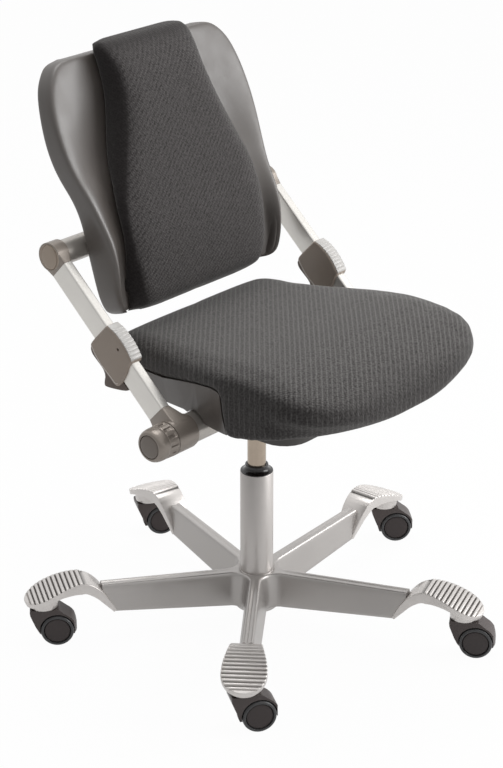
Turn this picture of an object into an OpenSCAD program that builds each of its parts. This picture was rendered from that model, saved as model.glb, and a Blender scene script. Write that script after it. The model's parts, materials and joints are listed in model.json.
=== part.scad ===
// Five-legged office swivel chair with a tilting backrest hung between two side arms.
// Origin: on the floor, on the axis of the gas lift. The sitter faces -Y, +X is the sitter's left.

/* [Base] */
// Direction of the first leg about the column axis, degrees
leg_turn = 1.1; // [-36:0.1:36]
// Radius of the circle through the five caster stems
stem_circle_r = 330; // [300:1:345]
// Height of the leg's upper edge at the hub
leg_top_in = 80; // [76:1:90]
// Height of the leg's upper edge where the foot plate starts
leg_top_out = 86; // [80:1:96]
// Height of the leg's lower edge at the hub
leg_low_in = 24; // [18:1:34]
// Height of the leg's lower edge where the foot plate starts
leg_low_out = 43; // [36:1:52]
// Width across the two ridges on top of a leg
leg_ridge_w = 18; // [14:1:24]
// Width of a leg at its lower edge
leg_foot_w = 34; // [28:1:44]
// Width of the groove between the ridges
leg_groove_w = 6; // [4:0.5:8]
// Wall left around the hollow underside of a leg
leg_wall = 4; // [3:0.5:6]
// Thickness of the web under a foot plate
leg_web_t = 8; // [5:1:12]
// Greatest width of a foot plate
plate_w = 66; // [56:1:76]
// Width of a foot plate where it leaves the leg
plate_root_w = 47; // [38:1:56]
// Thickness of a foot plate without its ribs
plate_t = 5; // [4:0.5:7]
// Height of the ribs on a foot plate
rib_h = 1.6; // [0.6:0.1:2]
// Number of ribs on a foot plate
rib_count = 13; // [8:1:16]
// Radius of the caster socket under a foot plate
socket_r = 21; // [18:0.5:24]
// Height of the socket's lower face
socket_z = 60; // [58:0.5:64]

/* [Casters] */
// Diameter of a caster wheel
wheel_d = 50; // [44:1:52]
// Width over both wheels of a caster
caster_w = 37; // [32:1:44]
// Distance from the stem's axis back to the wheel's axle
caster_trail = 19; // [15:1:22]
// Radius of the stem
stem_r = 5.5; // [4:0.5:7]
// Thickness of the hood over the wheels
hood_t = 3; // [2:0.5:4]

/* [Lift column] */
// Outer diameter of the column tube
column_d = 50; // [46:1:56]
// Wall of the column tube
column_wall = 2; // [1.5:0.5:3]
// Height of the column tube's upper end
column_top = 244; // [220:1:270]
// Height of the black collar above the tube
collar_h = 12; // [8:1:18]
// Diameter of the gas cylinder
gas_d = 28; // [26:1:30]
// Diameter of the piston rod
piston_d = 10; // [8:1:12]
// Height of the housing's lower face, which the gas cylinder enters
housing_z = 352; // [340:1:362]

/* [Side frame] */
// Distance from the middle plane to the centre of an arm bar
arm_x = 230.4; // [226:0.1:240]
// Thickness of an arm bar across the chair
arm_t = 15.7; // [13:0.1:18]
// Depth of an arm bar in side view
arm_d = 35.8; // [30:0.1:40]
// Wall of the hollow arm bar
arm_wall = 3; // [2:0.5:4]
// Distance between the lower and the upper tube axis
arm_span = 310; // [300:1:330]
// Rise of the arm bars above the floor plane, degrees
arm_rise = 43.15; // [40:0.05:48]
// Lower tube axis, forward of the column axis
low_axis_y = -45.6; // [-50:0.1:-42]
// Height of the lower tube axis
low_axis_z = 395.1; // [392:0.1:400]
// Radius of the lower cross tube
low_tube_r = 21.8; // [20:0.1:22.5]
// Wall of the lower cross tube
low_tube_wall = 2.8; // [2:0.1:4]
// Outer radius of the lower hub sleeve
low_hub_r = 25; // [24:0.5:27]
// Radius of the upper cross tube
up_tube_r = 18; // [16:0.5:19]
// Radius of the upper hub
up_hub_r = 21; // [20.5:0.5:24]
// Length of the tension knob
knob_len = 36; // [30:1:42]
// Number of flutes on the tension knob
knob_flutes = 18; // [12:1:24]

/* [Sliders] */
// Width of an arm slider across the chair
slider_w = 24.7; // [22:0.1:28]
// Distance from the lower tube axis to the slider's upper end
slider_top = 178.5; // [160:0.5:190]
// Length of the slider along its arm
slider_len = 64; // [56:1:72]
// Number of ribs on the slider's grip
grip_ribs = 8; // [5:1:10]
// Diameter of the screw hole for an arm pad
pad_hole_d = 3.5; // [2:0.5:4]

/* [Seat] */
// Seat width at the back
seat_back_w = 336; // [300:1:350]
// Seat width at its widest, near the front
seat_front_w = 428; // [410:1:432]
// Where the seat ends behind the column axis
seat_rear_y = 150; // [140:1:156]
// Where the seat ends in front of the column axis
seat_front_y = -288; // [-310:1:-270]
// Height of the cushion's crown at the back
seat_top_back = 486; // [478:1:490]
// Height of the cushion's crown at the front
seat_top_front = 504; // [494:1:512]
// Height of the pan's belly
pan_low_z = 402; // [400:1:406]
// Depth of the metal seat frame
frame_t = 16; // [10:1:18]

/* [Backrest] */
// Lean of the backrest from upright, degrees
back_lean = 14.7; // [10:0.1:18]
// Distance of the shell's lower edge in front of the upper tube's axis
back_fore = 46.6; // [42:0.1:52]
// Distance of the shell's lower edge below the upper tube's axis
back_drop = 98.1; // [92:0.1:104]
// Height of the shell along its lean
shell_h = 370; // [350:1:376]
// Width of the shell at its shoulders
shell_w = 411; // [390:1:416]
// Wall of the shell
shell_wall = 4.5; // [3:0.5:6]
// How far the back cushion stands above the shell
pad_over = 15; // [12:1:24]
// Greatest width of the back cushion
back_pad_w = 290; // [264:1:300]

/* [Fits] */
// Clearance on the radius of a turning or sliding fit
run_gap = 0.05; // [0.02:0.01:0.08]
// Gap between a soft piece and what carries it
soft_gap = 0.3; // [0.2:0.1:0.6]
// Gap between pieces that turn past each other
turn_gap = 0.6; // [0.4:0.1:1]

/* [Hidden] */
SIDES = ["left", "right"];
LEGS = [0:4];
// Where each caster has been left standing: direction from its stem to its axle, degrees
CASTER_TURN = [315, 326, 315, 325, 302];
CASTERS = [for (k = LEGS) str("caster_", k + 1)];
SOLO = [
    "base_casting", "column_tube", "column_collar", "column_guide", "thrust_bearing", "rod_clip",
    "piston_rod", "gas_cylinder", "tilt_housing", "lower_cross_tube", "tube_end_cap", "tension_spindle",
    "tension_knob", "knob_disc", "seat_frame", "seat_bolts", "seat_pan", "seat_cushion",
    "upper_cross_tube", "back_bracket", "back_screws", "back_shell", "back_cushion"
];
PAIRED = [
    "arm_bar_", "lower_hub_", "upper_hub_", "upper_cap_", "slider_", "slider_grip_", "squeeze_lever_",
    "lever_pin_"
];

ROUND = 72;
SMALL = 32;
SOFT = 32;
EPS = 0.01;

// Finishes as the photograph shows them
C_ALLOY = "#b8b3af";
C_STEEL = "#c9c0b4";
C_BLACK = "#1c1a19";
C_PLASTIC = "#6f6861";
C_HOOD = "#4a4240";
C_TREAD = "#55585c";
C_ANODISED = "#c8c5bf";
C_SHELL = "#6d655f";
C_FABRIC = "#4c494a";

// Derived sizes
wheel_r = wheel_d / 2;
column_r = column_d / 2;
column_bore = column_r - column_wall;
gas_r = gas_d / 2;
piston_r = piston_d / 2;
hub_r = column_r + 8;
hub_top = leg_top_in - 2;
hub_lip_z = leg_low_in - 6;
tube_foot_z = leg_low_in;
plate_root_r = stem_circle_r - 106;
plate_tip_r = stem_circle_r + 28;
plate_apex_r = plate_root_r + 52;
plate_apex_z = leg_top_out + 12;
plate_tip_z = socket_z + 15;
collar_top = column_top + collar_h;
gas_low = column_top - 79;
gas_top = low_axis_z - 11;
rod_head_z = gas_low + 60;
rod_foot_z = tube_foot_z + 6;
arm_ca = cos(arm_rise);
arm_sa = sin(arm_rise);
up_axis_y = low_axis_y + arm_span * arm_ca;
up_axis_z = low_axis_z + arm_span * arm_sa;
arm_in = arm_x - arm_t / 2;
arm_out = arm_x + arm_t / 2;
arm_from = low_hub_r + 13.5;
arm_to = arm_span - up_hub_r - 1.5;
low_hub_in = arm_x - 25;
low_hub_out = arm_out + 7.2;
up_hub_in = arm_in - 4.5;
up_hub_out = arm_out + 0.6;
knob_from = low_hub_out + turn_gap;
spindle_r = 6;
plug_r = low_tube_r - low_tube_wall;
slider_low = slider_top - slider_len;
slider_half = slider_w / 2;
back_y = up_axis_y - back_fore;
back_z = up_axis_z - back_drop;
back_pad_h = shell_h + pad_over;
stem_foot_z = socket_z - 12;

// Smooth curve through stations [t, value, value, ...]
function station(t, tbl, i = 0) = (i >= len(tbl) - 2 || t <= tbl[i + 1][0]) ? i : station(t, tbl, i + 1);
function rate(tbl, i, c) =
    let (a = max(i - 1, 0), b = min(i + 1, len(tbl) - 1)) (tbl[b][c] - tbl[a][c]) / (tbl[b][0] - tbl[a][0]);
function spline(t, tbl, c = 1) =
    let (
        i = station(t, tbl),
        h = tbl[i + 1][0] - tbl[i][0],
        u = (t - tbl[i][0]) / h,
        p = tbl[i][c],
        q = tbl[i + 1][c],
        mp = rate(tbl, i, c) * h,
        mq = rate(tbl, i + 1, c) * h
    )
    p * (2 * u ^ 3 - 3 * u ^ 2 + 1) + mp * (u ^ 3 - 2 * u ^ 2 + u)
        + q * (3 * u ^ 2 - 2 * u ^ 3) + mq * (u ^ 3 - u ^ 2);
function mix(a, b, k) = a + (b - a) * k;
function ease(k) = let (c = min(max(k, 0), 1)) c * c * (3 - 2 * c);
function power(v, e) = sign(v) * abs(v) ^ e;
function bezier(p, t) =
    p[0] * (1 - t) ^ 3 + 3 * p[1] * t * (1 - t) ^ 2 + 3 * p[2] * t ^ 2 * (1 - t) + p[3] * t ^ 3;
function unit(v) = v / norm(v);
function left_of(v) = [-v[1], v[0]];
// Corner fall-off of a rounded rectangle: 1 along the sides, 0 at the very end
function corner(q, e) = (1 - min(abs(q), 0.999) ^ e) ^ (1 / e);

// Closed solid between a front and a back grid of points, each grid[row][column]
module sheet_solid(front, back) {
    rows = len(front);
    cols = len(front[0]);
    function at(i, j, k) = (k * rows + i) * cols + j;
    function quad(a, b, c, d) = [[a, b, c], [a, c, d]];
    faces = concat(
        [for (i = [0:rows - 2], j = [0:cols - 2])
            each quad(at(i, j, 0), at(i + 1, j, 0), at(i + 1, j + 1, 0), at(i, j + 1, 0))],
        [for (i = [0:rows - 2], j = [0:cols - 2])
            each quad(at(i, j, 1), at(i, j + 1, 1), at(i + 1, j + 1, 1), at(i + 1, j, 1))],
        [for (i = [0:rows - 2])
            each quad(at(i, 0, 0), at(i, 0, 1), at(i + 1, 0, 1), at(i + 1, 0, 0))],
        [for (i = [0:rows - 2])
            each quad(at(i, cols - 1, 0), at(i + 1, cols - 1, 0), at(i + 1, cols - 1, 1), at(i, cols - 1, 1))],
        [for (j = [0:cols - 2])
            each quad(at(0, j, 0), at(0, j + 1, 0), at(0, j + 1, 1), at(0, j, 1))],
        [for (j = [0:cols - 2])
            each quad(at(rows - 1, j, 0), at(rows - 1, j, 1), at(rows - 1, j + 1, 1), at(rows - 1, j + 1, 0))]
    );
    polyhedron(points = concat([for (r = front) each r], [for (r = back) each r]), faces = faces, convexity = 6);
}

// Rectangle with round corners, centred
function round_rect(w, d, r, n = 6) =
    [for (q = [0:3], i = [0:n])
        let (
            a = q * 90 + i * 90 / n,
            sx = (q == 0 || q == 3) ? 1 : -1,
            sy = q < 2 ? 1 : -1
        )
        [sx * (w / 2 - r) + r * cos(a), sy * (d / 2 - r) + r * sin(a)]];

// Cylinder along X between two stations
module bar_x(r, from, to, fn = ROUND) {
    translate([from, 0, 0]) rotate([0, 90, 0]) cylinder(h = to - from, r = r, $fn = fn);
}

module at_low_axis() translate([0, low_axis_y, low_axis_z]) children();
module at_up_axis() translate([0, up_axis_y, up_axis_z]) children();
// Frame of the arms: Y runs up along the arm from the lower tube, Z points forward and up
module along_arm() at_low_axis() rotate([arm_rise, 0, 0]) children();
module on_side(s) mirror([s == "left" ? 0 : 1, 0, 0]) children();

// Base

// Curve of a foot plate's middle line, radius and height
function plate_curve(t) =
    t < 0.38
        ? bezier([[plate_root_r, leg_low_out + 1], [plate_root_r + 12, leg_low_out + 24],
            [plate_apex_r - 24, plate_apex_z], [plate_apex_r, plate_apex_z]], t / 0.38)
        : bezier([[plate_apex_r, plate_apex_z], [plate_apex_r + 26, plate_apex_z],
            [plate_tip_r - 34, plate_tip_z + 3], [plate_tip_r, plate_tip_z]], (t - 0.38) / 0.62);
function plate_normal(t) = unit(left_of(plate_curve(min(t + 0.01, 1)) - plate_curve(max(t - 0.01, 0))));
rib_start = 0.36;
rib_steps = 4;
plate_steps = 10;
plate_line = concat(
    [for (i = [0:plate_steps - 1]) let (t = i / plate_steps * rib_start) [t, 0]],
    [for (i = [0:rib_count - 1], j = [0:rib_steps - 1])
        [rib_start + (i + [0.04, 0.14, 0.56, 0.66][j]) / rib_count * (1 - rib_start), (j == 1 || j == 2) ? rib_h : 0]],
    [[1, rib_h]]
);

module foot_plate_side() {
    over = [for (p = plate_line) plate_curve(p[0]) + plate_normal(p[0]) * (plate_t / 2 + p[1])];
    under = [for (i = [24:-1:0]) plate_curve(i / 24) - plate_normal(i / 24) * plate_t / 2];
    polygon(concat(over, under));
}

// Room under the middle line of a foot plate
module under_plate(from_t, to_t, low) {
    pts = [for (i = [0:16]) plate_curve(mix(from_t, to_t, i / 16))];
    polygon(concat(pts, [[pts[16][0], low], [pts[0][0], low]]));
}

module foot_plate_plan(inset) {
    tip_c = plate_tip_r - plate_w / 2;
    root = plate_root_w / 2 - inset;
    wide = plate_w / 2 - inset;
    foot = leg_foot_w / 2 - 4 - inset;
    translate([tip_c, 0]) circle(r = wide, $fn = ROUND);
    polygon([
        [plate_root_r - 12, -foot], [plate_root_r + 24, -root], [plate_apex_r, -root - 1.5], [tip_c - 8, -wide + 1],
        [tip_c, -wide], [tip_c, wide], [tip_c - 8, wide - 1], [plate_apex_r, root + 1.5], [plate_root_r + 24, root],
        [plate_root_r - 12, foot]
    ]);
}

// Depth of the side walls that hang under a foot plate's edges, along the plate
plate_skirt = [[0, 0], [0.1, 5], [0.25, 9], [0.38, 10], [0.5, 7.5], [0.65, 2.5], [0.78, 0]];
skirt_wall = 3.2;
module skirt_side() {
    steps = 20;
    walk = [for (i = [0:steps]) mix(0.02, 0.77, i / steps)];
    polygon(concat(
        [for (t = walk) plate_curve(t)],
        [for (i = [steps:-1:0])
            plate_curve(walk[i]) - plate_normal(walk[i]) * (plate_t / 2 + 0.4 + spline(walk[i], plate_skirt))]
    ));
}

// Extrudes a side view (radius, height) across the leg
module across(w) rotate([90, 0, 0]) translate([0, 0, -w / 2]) linear_extrude(w) children();

module leg_section(low) {
    ridge = leg_ridge_w / 2;
    foot = leg_foot_w / 2;
    groove = leg_groove_w / 2;
    deep = leg_top_in - leg_low_in;
    half = [
        [groove, -3.6], [groove, -1.4], [groove + 0.5, -0.5], [groove + 1.4, 0], [ridge - 2, 0],
        [ridge - 0.8, -0.4], [ridge, -1.4], [foot, -deep * 0.78], [foot, -low]
    ];
    polygon(concat(half, [for (i = [len(half) - 1:-1:0]) [-half[i][0], half[i][1]]]));
}

module leg_hollow_section(low) {
    top = leg_ridge_w / 2 - leg_wall + 1.5;
    foot = leg_foot_w / 2 - leg_wall;
    polygon([[-top, -12], [top, -12], [foot, -low * 0.6], [foot, -low], [-foot, -low], [-foot, -low * 0.6]]);
}

// Lays a section drawn about the leg's upper edge along the leg
module along_leg_top(from, to) {
    slope = atan((leg_top_out - leg_top_in) / (plate_root_r - hub_r));
    translate([hub_r, 0, leg_top_in]) rotate([0, -slope, 0]) translate([from - hub_r, 0, 0])
        rotate([90, 0, 90]) linear_extrude(to - from) children();
}

module leg_side() {
    polygon([
        [0, leg_low_in], [plate_root_r, leg_low_out], plate_curve(0.12), plate_curve(0.2),
        [plate_root_r + 26, leg_top_out + 4], [0, leg_top_in + 4]
    ]);
}

module leg() {
    difference() {
        intersection() {
            across(leg_foot_w + 20) leg_side();
            along_leg_top(0, plate_root_r + 34) leg_section(leg_top_in);
        }
        intersection() {
            across(leg_foot_w) polygon([
                [hub_r + 8, -10], [plate_root_r - 8, -10], [plate_root_r - 8, leg_top_out - 12],
                [hub_r + 8, leg_top_in - 12]
            ]);
            along_leg_top(0, plate_root_r) leg_hollow_section(leg_top_in + 10);
        }
    }
    intersection() {
        across(plate_w + 10) foot_plate_side();
        linear_extrude(plate_apex_z + 20) foot_plate_plan(0);
    }
    intersection() {
        across(plate_w + 10) skirt_side();
        difference() {
            linear_extrude(plate_apex_z + 20) foot_plate_plan(0);
            translate([0, 0, -1]) linear_extrude(plate_apex_z + 22) foot_plate_plan(skirt_wall);
        }
    }
    across(leg_web_t) polygon(concat(
        [for (i = [0:16]) plate_curve(i / 16 * 0.72)],
        [[stem_circle_r - 10, socket_z + 7], [plate_root_r + 39, socket_z + 7]]
    ));
    intersection() {
        translate([stem_circle_r, 0, socket_z]) cylinder(h = 60, r = socket_r, $fn = ROUND);
        across(plate_w) under_plate(0.45, 1, 0);
    }
}

// Outline of the hub with a round web between neighbouring legs
module hub_star() {
    half = leg_foot_w / 2 - 3;
    web_d = (hub_r + 5 - half) / (1 - sin(36));
    web_r = web_d * sin(36) - half;
    reach = web_d * cos(36);
    difference() {
        circle(r = reach / cos(36) * 0.82, $fn = ROUND);
        for (k = LEGS) rotate(leg_turn + 36 + k * 72) translate([web_d, 0]) circle(r = web_r, $fn = ROUND);
    }
}

module base_casting() {
    color(C_ALLOY) difference() {
        union() {
            for (k = LEGS) rotate(leg_turn + k * 72) leg();
            translate([0, 0, leg_low_in]) linear_extrude(leg_top_in - leg_low_in - 1) hub_star();
            translate([0, 0, hub_lip_z]) cylinder(h = hub_top - hub_lip_z, r = hub_r, $fn = ROUND);
        }
        translate([0, 0, hub_top]) cylinder(h = 20, r = hub_r - 1, $fn = ROUND);
        for (k = LEGS) rotate(leg_turn + k * 72) {
            translate([column_r, -leg_groove_w / 2, leg_top_in - 3.6]) cube([plate_root_r * 0.4, leg_groove_w, 12]);
            translate([stem_circle_r, 0, socket_z - 1]) cylinder(h = 19, r = stem_r + run_gap, $fn = ROUND);
        }
        translate([0, 0, tube_foot_z]) cylinder(h = 100, r = column_r, $fn = ROUND);
        translate([0, 0, hub_lip_z - 1]) cylinder(h = 20, r = column_r - 6, $fn = ROUND);
    }
}

// Lift column

module column_tube() {
    color(C_ALLOY) translate([0, 0, tube_foot_z]) difference() {
        cylinder(h = column_top - tube_foot_z, r = column_r, $fn = ROUND);
        translate([0, 0, column_wall]) cylinder(h = column_top, r = column_bore, $fn = ROUND);
        translate([0, 0, -1]) cylinder(h = 10, r = piston_r + 2, $fn = ROUND);
    }
}

module column_collar() {
    bore = gas_r + run_gap;
    color(C_BLACK) rotate_extrude($fn = ROUND) polygon(concat(
        [[bore, column_top - 8], [column_bore, column_top - 8], [column_bore, column_top],
            [column_r - 0.3, column_top], [column_r - 0.3, column_top + 1.5]],
        [for (i = [1:6]) let (a = i * 15)
            [column_r - 0.3 - (column_r - gas_r - 3.6) * sin(a), column_top + 1.5 + (collar_h - 4.5) * (1 - cos(a))]],
        [[gas_r + 3.6, collar_top - 1], [gas_r + 2.8, collar_top], [bore, collar_top]]
    ));
}

module column_guide() {
    color(C_BLACK) translate([0, 0, column_top - 84]) difference() {
        cylinder(h = 74, r = column_bore, $fn = ROUND);
        translate([0, 0, -1]) cylinder(h = 80, r = gas_r + run_gap, $fn = ROUND);
    }
}

module thrust_bearing() {
    color(C_STEEL) translate([0, 0, tube_foot_z + column_wall]) difference() {
        cylinder(h = rod_foot_z - tube_foot_z - column_wall, r = piston_r + 7, $fn = ROUND);
        translate([0, 0, -1]) cylinder(h = 20, r = piston_r + run_gap, $fn = ROUND);
    }
}

module rod_clip() {
    color(C_STEEL) translate([0, 0, tube_foot_z - 2]) difference() {
        cylinder(h = 2, r = piston_r + 5, $fn = ROUND);
        translate([0, 0, -1]) cylinder(h = 10, r = piston_r + run_gap, $fn = ROUND);
    }
}

module piston_rod() {
    color(C_STEEL) {
        translate([0, 0, tube_foot_z - 4]) cylinder(h = rod_head_z - tube_foot_z + 4, r = piston_r, $fn = ROUND);
        translate([0, 0, rod_foot_z]) cylinder(h = 3, r = piston_r + 6, $fn = ROUND);
        translate([0, 0, rod_head_z - 8]) cylinder(h = 8, r = gas_r - 2.5 - run_gap, $fn = ROUND);
    }
}

module gas_cylinder() {
    color(C_STEEL) difference() {
        union() {
            translate([0, 0, gas_low]) cylinder(h = housing_z - gas_low, r = gas_r, $fn = ROUND);
            translate([0, 0, housing_z]) cylinder(h = gas_top - housing_z, r = gas_r - 1, $fn = ROUND);
            translate([0, 0, gas_top - 1]) cylinder(h = 4, r = 4, $fn = ROUND);
        }
        translate([0, 0, gas_low + 6]) cylinder(h = housing_z - gas_low - 12, r = gas_r - 2.5, $fn = ROUND);
        translate([0, 0, gas_low - 1]) cylinder(h = 12, r = piston_r + run_gap, $fn = ROUND);
    }
}

// Tilt mechanism

housing_half = 42;
lug_in = housing_half + turn_gap + 0.4;
lug_t = 15;
boss_r = low_tube_r + 7;
housing_top = low_axis_z - 9;

module tilt_housing() {
    color(C_STEEL) difference() {
        union() {
            translate([0, -22, housing_z]) linear_extrude(housing_top - housing_z)
                polygon(round_rect(2 * housing_half, 124, 10));
            at_low_axis() bar_x(boss_r, -housing_half, housing_half);
        }
        at_low_axis() bar_x(low_tube_r, -100, 100);
        translate([0, 0, housing_z - 1]) cylinder(h = gas_top - housing_z + 1, r = gas_r - 1, $fn = ROUND);
        translate([0, 0, gas_top - EPS]) cylinder(h = 20, r = 6, $fn = ROUND);
    }
}

module lower_cross_tube() {
    color(C_ALLOY) at_low_axis() difference() {
        bar_x(low_tube_r, -low_hub_out, low_hub_out);
        bar_x(plug_r, -300, 300);
    }
}

module tension_spindle() {
    color(C_STEEL) at_low_axis() {
        bar_x(plug_r, -low_hub_out, -low_hub_out + 14);
        bar_x(spindle_r, -low_hub_out - knob_len + 8, -low_hub_out + 1, SMALL);
    }
}

// Profile of the knob and the end cap: [distance from the inner face, radius]
function knob_profile(len, r) = [
    [0, r - 0.6], [0.6, r], [len * 0.55, r - 0.8], [len * 0.62, r - 1.6], [len * 0.68, r - 1.6],
    [len * 0.86, r - 2.6], [len * 0.94, r - 4.2], [len, r - 8]
];

module knob_body(len, r) {
    rotate([0, 90, 0]) rotate_extrude($fn = ROUND) polygon(concat(
        [[0, 0]], [for (p = knob_profile(len, r)) [p[1], p[0]]], [[0, len]]
    ));
}

module tension_knob() {
    color(C_PLASTIC) mirror([1, 0, 0]) translate([knob_from, low_axis_y, low_axis_z]) difference() {
        knob_body(knob_len, low_hub_r);
        translate([-1, 0, 0]) bar_x(spindle_r + run_gap, 0, knob_len - 6, ROUND);
        translate([knob_len - 3, 0, 0]) bar_x(low_hub_r - 10, 0, 5, ROUND);
        for (k = [0:knob_flutes - 1]) rotate([k * 360 / knob_flutes, 0, 0])
            translate([2.5, -1.1, low_hub_r - 1.7]) cube([knob_len * 0.5, 2.2, 5]);
    }
}

module knob_disc() {
    color(C_PLASTIC) mirror([1, 0, 0]) translate([knob_from + knob_len - 3, low_axis_y, low_axis_z])
        rotate([0, 90, 0]) rotate_extrude($fn = ROUND)
            polygon([[0, 0], [low_hub_r - 10, 0], [low_hub_r - 10, 2.6], [low_hub_r - 12, 3.6], [6, 4.4], [0, 4.6]]);
}

module tube_end_cap() {
    color(C_PLASTIC) translate([low_hub_out, low_axis_y, low_axis_z]) {
        translate([turn_gap, 0, 0]) knob_body(knob_len, low_hub_r);
        bar_x(plug_r, -14, turn_gap + 1);
    }
}

// Side frame

module arm_section(w, d, r) polygon(round_rect(w, d, r, 4));

module arm_bar(s) {
    color(C_ANODISED) on_side(s) along_arm() translate([arm_x, arm_from, 0]) rotate([-90, 0, 0])
        linear_extrude(arm_to - arm_from) difference() {
            arm_section(arm_t, arm_d, 3);
            arm_section(arm_t - 2 * arm_wall, arm_d - 2 * arm_wall, 1);
        }
}

// Plug of a hub that enters the hollow arm bar
module arm_plug(from, to) {
    translate([arm_x, from, 0]) rotate([-90, 0, 0]) linear_extrude(to - from)
        arm_section(arm_t - 2 * arm_wall - 0.1, arm_d - 2 * arm_wall - 0.1, 1);
}

// Slice of the arm's outline that a hub's neck grows from
module neck_slice(u) {
    translate([arm_x, u, 0]) rotate([-90, 0, 0]) linear_extrude(0.5, center = true)
        arm_section(arm_t, arm_d, 3);
}

module lower_hub(s) {
    color(C_PLASTIC) on_side(s) difference() {
        union() {
            at_low_axis() bar_x(low_hub_r, low_hub_in + 4, low_hub_out);
            at_low_axis() bar_x(low_hub_r - 1, low_hub_in, low_hub_in + 6);
            along_arm() hull() {
                neck_slice(arm_from - 0.25);
                bar_x(low_hub_r - 0.5, arm_in - 12, arm_out + 2, SOFT);
            }
            along_arm() arm_plug(arm_from - 4, arm_from + 26);
        }
        at_low_axis() bar_x(low_tube_r + run_gap, low_hub_in - 5, low_hub_out + 5);
    }
}

module upper_hub(s) {
    color(C_PLASTIC) on_side(s) difference() {
        union() {
            at_up_axis() bar_x(up_hub_r, up_hub_in, up_hub_out);
            along_arm() hull() {
                neck_slice(arm_to + 0.25);
                translate([0, arm_span, 0]) bar_x(up_hub_r - 0.5, arm_in - 3, arm_out + 0.3, SOFT);
            }
            along_arm() arm_plug(arm_to - 26, arm_to + 4);
        }
        at_up_axis() bar_x(up_tube_r, up_hub_in - 5, arm_x + 2);
        at_up_axis() bar_x(up_hub_r - 2, up_hub_out - 1.5, up_hub_out + 5);
    }
}

module upper_cap(s) {
    color(C_PLASTIC) on_side(s) translate([up_hub_out - 1.5, up_axis_y, up_axis_z]) rotate([0, 90, 0])
        rotate_extrude($fn = ROUND) polygon([
            [0, 0], [up_hub_r - 2, 0], [up_hub_r - 2, 1.6], [up_hub_r - 3.2, 2.6], [0, 2.9]
        ]);
}

module upper_cross_tube() {
    color(C_PLASTIC) at_up_axis() difference() {
        bar_x(up_tube_r, -arm_x - 2, arm_x + 2);
        bar_x(up_tube_r - 2.5, -300, 300);
    }
}

// Sliders on the arm bars, drawn in the arm's frame as [along the arm, forward]

slot_half = 6.5;
lever_pin_at = [slider_low - 3, -24];
lever_pin_r = 2;

module slider_side() {
    polygon(concat(
        [[slider_top, 21.8], [slider_top - 1.5, -28], [slider_top - 36, -33.8], [slider_low, -31.7]],
        [for (i = [0:6]) let (a = 240 + i * 20) [slider_low - 1, -22] + 9.5 * [-cos(a), sin(a)]],
        [[slider_low - 8, -2], [slider_low - 2, 9], [slider_low, 21.8]]
    ));
}

module slider(s) {
    color(C_PLASTIC) on_side(s) along_arm() difference() {
        translate([arm_x - slider_half, 0, 0]) rotate([90, 0, 90]) linear_extrude(slider_w) slider_side();
        translate([arm_x - arm_t / 2 - run_gap, 0, -arm_d / 2 - run_gap])
            cube([arm_t + 2 * run_gap, 300, arm_d + 2 * run_gap]);
        translate([arm_x - slot_half, slider_low - 30, -60]) cube([2 * slot_half, slider_len + 40, 60 - arm_d / 2 + 1]);
        translate([0, lever_pin_at[0], lever_pin_at[1]]) bar_x(lever_pin_r, 0, 300, SMALL);
        translate([0, slider_low + 27.2, 14.9]) bar_x(pad_hole_d / 2, arm_x, 300, SMALL);
    }
}

module grip_side() {
    rise = 7;
    steps = grip_ribs * 4;
    polygon(concat(
        [for (i = [0:steps])
            let (k = i / steps, bump = (i % 4 == 1 || i % 4 == 2) ? 1 : 0)
            [slider_top - 0.2 - k * (slider_len - 0.4), 21.9 + rise * sin(180 * k) ^ 0.8 + bump]],
        [[slider_low + 0.2, 21.8], [slider_top - 0.2, 21.8]]
    ));
}

module slider_grip(s) {
    color(C_PLASTIC) on_side(s) along_arm() translate([arm_x - slider_half + 0.8, 0, 0])
        rotate([90, 0, 90]) linear_extrude(slider_w - 1.6) grip_side();
}

module lever_side() {
    polygon([
        [slider_top - 2.5, -33], [slider_top - 3, -37], [slider_top - 9.5, -40.7], [slider_top - 16, -41.2],
        [slider_low + 19, -39], [slider_low + 9, -57], [slider_low + 2, -54], [slider_low - 27, -20],
        [slider_low - 14, -20], [slider_low + 8, -21], [slider_top - 12, -29]
    ]);
}

module squeeze_lever(s) {
    color(C_PLASTIC) on_side(s) along_arm() difference() {
        translate([arm_x - slot_half + 0.4, 0, 0]) rotate([90, 0, 90])
            linear_extrude(2 * slot_half - 0.8) lever_side();
        translate([0, lever_pin_at[0], lever_pin_at[1]]) bar_x(lever_pin_r + run_gap, 0, 300, SMALL);
    }
}

module lever_pin(s) {
    color(C_STEEL) on_side(s) along_arm() translate([0, lever_pin_at[0], lever_pin_at[1]])
        bar_x(lever_pin_r, arm_x - slider_half + 0.4, arm_x + slider_half - 0.4, SMALL);
}

// Seat

wrap_y = low_axis_y - 66;
wrap_low_z = 427;
wrap_corner_z = 407;
front_round = 100;
rear_round = 45;

// How much of its width a row keeps near a rounded end, by its distance from that end
function end_keep(d, span, e) = let (k = max(1 - d / span, 0)) (1 - k ^ e) ^ (1 / e);
function seat_flare(y) =
    mix(seat_back_w, seat_front_w, ease((seat_rear_y - 40 - y) / 250)) / 2 * end_keep(seat_rear_y - y, rear_round, 4);
function seat_half_w(y) = seat_flare(y) * end_keep(y - seat_front_y, front_round, 3);
// The lower edge is drawn in further round the front corners
function seat_foot_w(y) = seat_flare(y) * end_keep(y - seat_front_y, front_round, 1.75);
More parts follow.
